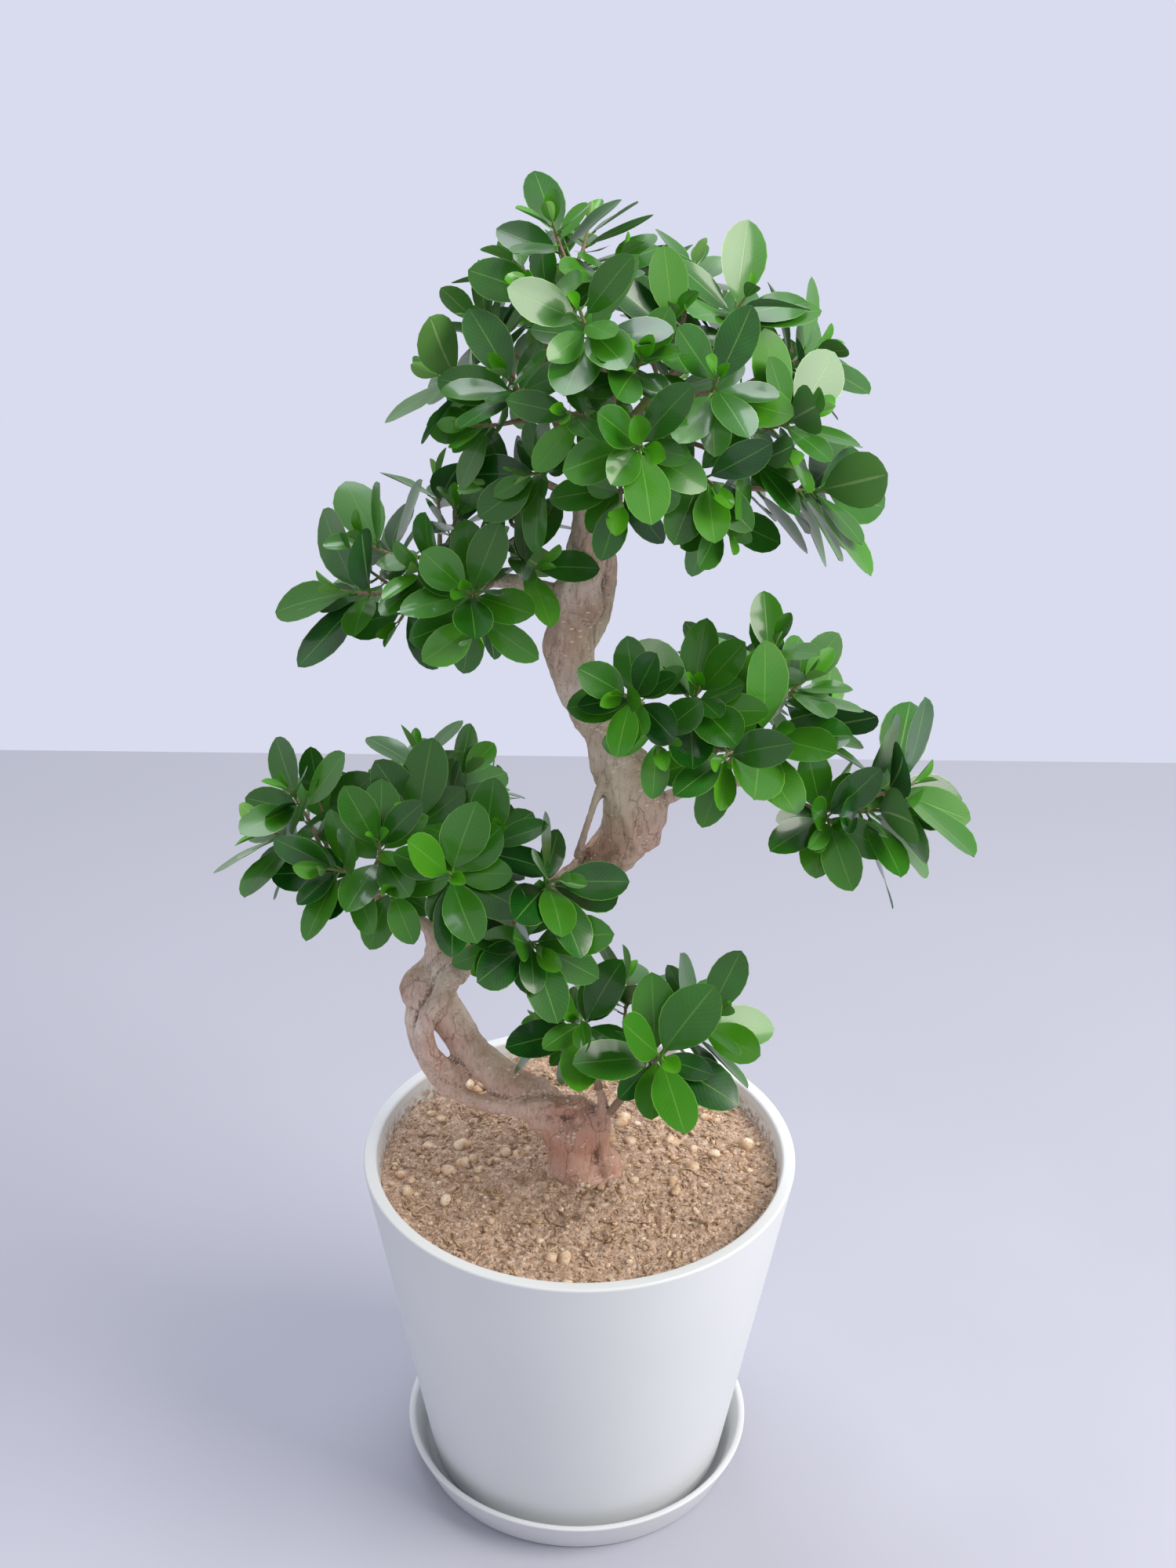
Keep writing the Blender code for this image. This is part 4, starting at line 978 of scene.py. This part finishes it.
margin = add(leaf_face, "ShaderNodeMapRange", {
    "Value": off_rib.outputs["Value"], "From Min": 0.478, "From Max": 0.492, "To Min": 0.0, "To Max": 0.7,
})
green = add(leaf_face, "ShaderNodeMixRGB", {
    "Fac": margin.outputs["Result"], "Color1": green.outputs["Color"], "Color2": linear("#7fb84a"),
})
sunk = add(leaf_face, "ShaderNodeMath", {
    0: vein.outputs["Result"], 1: rib.outputs["Result"],
}, operation="ADD")
relief = add(leaf_face, "ShaderNodeBump", {
    "Height": sunk.outputs["Value"], "Strength": 0.35, "Distance": 0.5 * MM,
}, invert=True)
cuticle = add(leaf_face, "ShaderNodeBsdfPrincipled", {
    "Base Color": green.outputs["Color"], "Roughness": 0.36, "IOR": 1.42,
    "Coat Weight": 0.6, "Coat Roughness": 0.12,
    "Normal": relief.outputs["Normal"],
})
leaf_face.node_tree.links.new(cuticle.outputs["BSDF"], output.inputs["Surface"])

# The leaf's back: the same leaf without the wax, paler and matte, with a raised midrib.
leaf_back, output = finish_named("matte_ficus_leaf_back")
uv = add(leaf_back, "ShaderNodeUVMap", uv_map="leaf")
blade = add(leaf_back, "ShaderNodeSeparateXYZ", {"Vector": uv.outputs["UV"]})
off_rib = add(leaf_back, "ShaderNodeMath", {0: blade.outputs["X"], 1: 0.5}, operation="SUBTRACT")
off_rib = add(leaf_back, "ShaderNodeMath", {0: off_rib.outputs["Value"]}, operation="ABSOLUTE")
tone = add(leaf_back, "ShaderNodeAttribute", attribute_name="tone")
green = add(leaf_back, "ShaderNodeMixRGB", {
    "Fac": tone.outputs["Fac"], "Color1": linear("#33702f"), "Color2": linear("#84b95a"),
})
rib = add(leaf_back, "ShaderNodeMapRange", {
    "Value": off_rib.outputs["Value"], "From Min": 0.04, "From Max": 0.01, "To Min": 0.0, "To Max": 0.7,
})
green = add(leaf_back, "ShaderNodeMixRGB", {
    "Fac": rib.outputs["Result"], "Color1": green.outputs["Color"], "Color2": linear("#a9cc80"),
})
relief = add(leaf_back, "ShaderNodeBump", {
    "Height": rib.outputs["Result"], "Strength": 0.6, "Distance": 0.6 * MM,
})
back = add(leaf_back, "ShaderNodeBsdfPrincipled", {
    "Base Color": green.outputs["Color"], "Roughness": 0.5, "IOR": 1.45,
    "Normal": relief.outputs["Normal"],
})
leaf_back.node_tree.links.new(back.outputs["BSDF"], output.inputs["Surface"])


def leaf_layer(name, leaves):
    """All of a spray's leaves as one mesh, with their blade's own UV map and a tone for each."""
    count = len(leaves)
    points = np.concatenate([grown_leaf(*leaf) for leaf in leaves])
    faces = [
        [corner + number * len(pattern_points) for corner in face]
        for number in range(count)
        for face in pattern_faces
    ]
    layer = mesh_piece(name, points.tolist(), faces=faces)
    layer.data.materials.append(twig_bark)
    layer.data.materials.append(leaf_face)
    layer.data.materials.append(leaf_back)
    layer.data.polygons.foreach_set("material_index", [1 + finish for finish in pattern_finish] * count)
    uv_map = layer.data.uv_layers.new(name="leaf")
    uv_map.uv.foreach_set("vector", np.tile(pattern_uv, (count, 1)).ravel())
    tones = np.repeat([leaf_tone(leaf[3]) for leaf in leaves], len(pattern_points))
    layer.data.attributes.new("tone", "FLOAT", "POINT").data.foreach_set("value", tones)
    bpy.ops.object.shade_smooth_by_angle(angle=math.radians(60))
    return layer


all_points, all_faces = [], []
for cad_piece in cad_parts.values():
    start = len(all_points)
    all_points += [v.co.copy() for v in cad_piece.data.vertices]
    all_faces += [[start + corner for corner in face.vertices] for face in cad_piece.data.polygons]
grown_before = BVHTree.FromPolygons(all_points, all_faces)
added = []
sprays = sorted(set(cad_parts) - {"saucer", "pot", "soil", "trunk"})
for node in sprays:
    shape = bmesh.new()
    shape.from_mesh(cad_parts[node].data)
    bmesh.ops.remove_doubles(shape, verts=shape.verts, dist=SAME_POINT)
    grown = find_leaves(shape)
    buds = find_buds(shape)
    leaves = [(foot, along, face, 0.0) for _, foot, along, face in grown]
    for leaf in list(leaves):
        leaves += [place for place in between_leaves(leaf, buds) if has_room(place, grown_before, added)][:3]
    for tip, direction in buds:
        leaves += young_leaves(tip, direction)
    bmesh.ops.delete(shape, geom=list({v for leaf in grown for v in leaf[0]}), context="VERTS")
    wood_piece = wood_of(shape, f"{node}_spray", trunk_tree)
    shape.free()
    wood_piece.data.materials.append(twig_bark)
    bud_tips = [tip for tip, _ in buds]
    growing = [
        max(0.0, 1 - min((v.co - tip).length for tip in bud_tips) / GREEN_TIP) if bud_tips else 0.0
        for v in wood_piece.data.vertices
    ]
    wood_piece.data.attributes.new("growing", "FLOAT", "POINT").data.foreach_set("value", growing)
    bpy.ops.object.shade_smooth()
    layer = leaf_layer(f"{node}_leaves", leaves)
    select_only(wood_piece)
    layer.select_set(True)
    bpy.ops.object.join()
    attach(wood_piece, "root")
    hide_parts(node)


# ---- Room ----------------------------------------------------------------------------------------
# A pale lavender floor that ends at a plain wall, and soft daylight from the upper right. The wall
# is the world's own colour, brighter to look at than the light that it sends.

FLOOR_WIDTH = 10
FLOOR_FRONT, FLOOR_BACK = -8.0, 1.136
CAMERA_PLACE = (0.0031, -1.2418, 1.1851)

bpy.ops.object.select_all(action="DESELECT")
bpy.ops.mesh.primitive_plane_add(size=1)
floor = bpy.context.object
floor.name = floor.data.name = "floor"
for vertex in floor.data.vertices:
    end = FLOOR_BACK if vertex.co.y > 0 else FLOOR_FRONT
    vertex.co = (FLOOR_WIDTH * vertex.co.x, end, cad_bounds[0].z)

# Painted screed: matte, with wide faint clouds left by the roller, and painted shade that darkens it towards
# the back.
paint, output = finish_named("painted_screed")
place = add(paint, "ShaderNodeTexCoord").outputs["Object"]
clouds = add(paint, "ShaderNodeTexNoise", {"Vector": place, "Scale": 3.0, "Detail": 3.0})
tone = add(paint, "ShaderNodeMixRGB", {
    "Fac": clouds.outputs["Fac"], "Color1": linear("#b0b1bc"), "Color2": linear("#bfc0cc"),
})
axes = add(paint, "ShaderNodeSeparateXYZ", {"Vector": place})
# Painted shade: the floor is darker towards the back, away from the light.
far_shade = add(paint, "ShaderNodeMapRange", {
    "Value": axes.outputs["Y"], "From Min": -0.2, "From Max": 1.0, "To Min": 0.0, "To Max": 1.0,
})
tone = add(paint, "ShaderNodeMixRGB", {
    "Fac": far_shade.outputs["Result"], "Color1": tone.outputs["Color"], "Color2": linear("#abadb8"),
})
matte = add(paint, "ShaderNodeBsdfPrincipled", {
    "Base Color": tone.outputs["Color"], "Roughness": 0.85, "IOR": 1.4,
})
paint.node_tree.links.new(matte.outputs["BSDF"], output.inputs["Surface"])
floor.data.materials.append(paint)

room = bpy.data.worlds.new("room")
room.use_nodes = True
bpy.context.scene.world = room
wall = room.node_tree.nodes["Background"]
wall.inputs["Color"].default_value = linear("#d9dcee")
daylight = add(room, "ShaderNodeBackground", {"Color": linear("#e3e4ec"), "Strength": 0.76})
seen = add(room, "ShaderNodeLightPath")
mix = add(room, "ShaderNodeMixShader", {
    0: seen.outputs["Is Camera Ray"], 1: daylight.outputs["Background"], 2: wall.outputs["Background"],
})
room.node_tree.links.new(mix.outputs["Shader"], room.node_tree.nodes["World Output"].inputs["Surface"])
bpy.context.scene.view_settings.view_transform = "Standard"


def soft_light(name, place, aim, size, watts, colour):
    """A square soft box that looks at a point."""
    data = bpy.data.lights.new(name, "AREA")
    data.shape = "SQUARE"
    data.size = size
    data.energy = watts
    data.color = linear(colour)[:3]
    lamp = bpy.data.objects.new(name, data)
    lamp.location = place
    lamp.rotation_euler = (Vector(aim) - Vector(place)).to_track_quat("-Z", "Y").to_euler()
    bpy.context.scene.collection.objects.link(lamp)


middle = (cad_bounds[0] + cad_bounds[1]) / 2
soft_light("window", (2.7, -0.9, 2.9), middle, 2.2, 135, "#fffaf4")
soft_light("skylight", (-0.3, 0.9, 2.8), middle, 1.4, 34, "#f2f4ff")

pitch, roll = math.radians(27.21), math.radians(0.633)
view_up = Vector((0, math.sin(pitch), math.cos(pitch)))
view_right = Vector((math.cos(roll), 0, 0)) + math.sin(roll) * view_up
view_top = Vector((-math.sin(roll), 0, 0)) + math.cos(roll) * view_up
forward = Vector((0, math.cos(pitch), -math.sin(pitch)))
lens = bpy.data.cameras.new("camera")
lens.lens = 50.4
lens.sensor_width = 36
camera = bpy.data.objects.new("camera", lens)
camera.matrix_world = Matrix.Translation(CAMERA_PLACE) @ Matrix(
    (view_right, view_top, -forward)
).transposed().to_4x4()
bpy.context.scene.collection.objects.link(camera)
bpy.context.scene.camera = camera
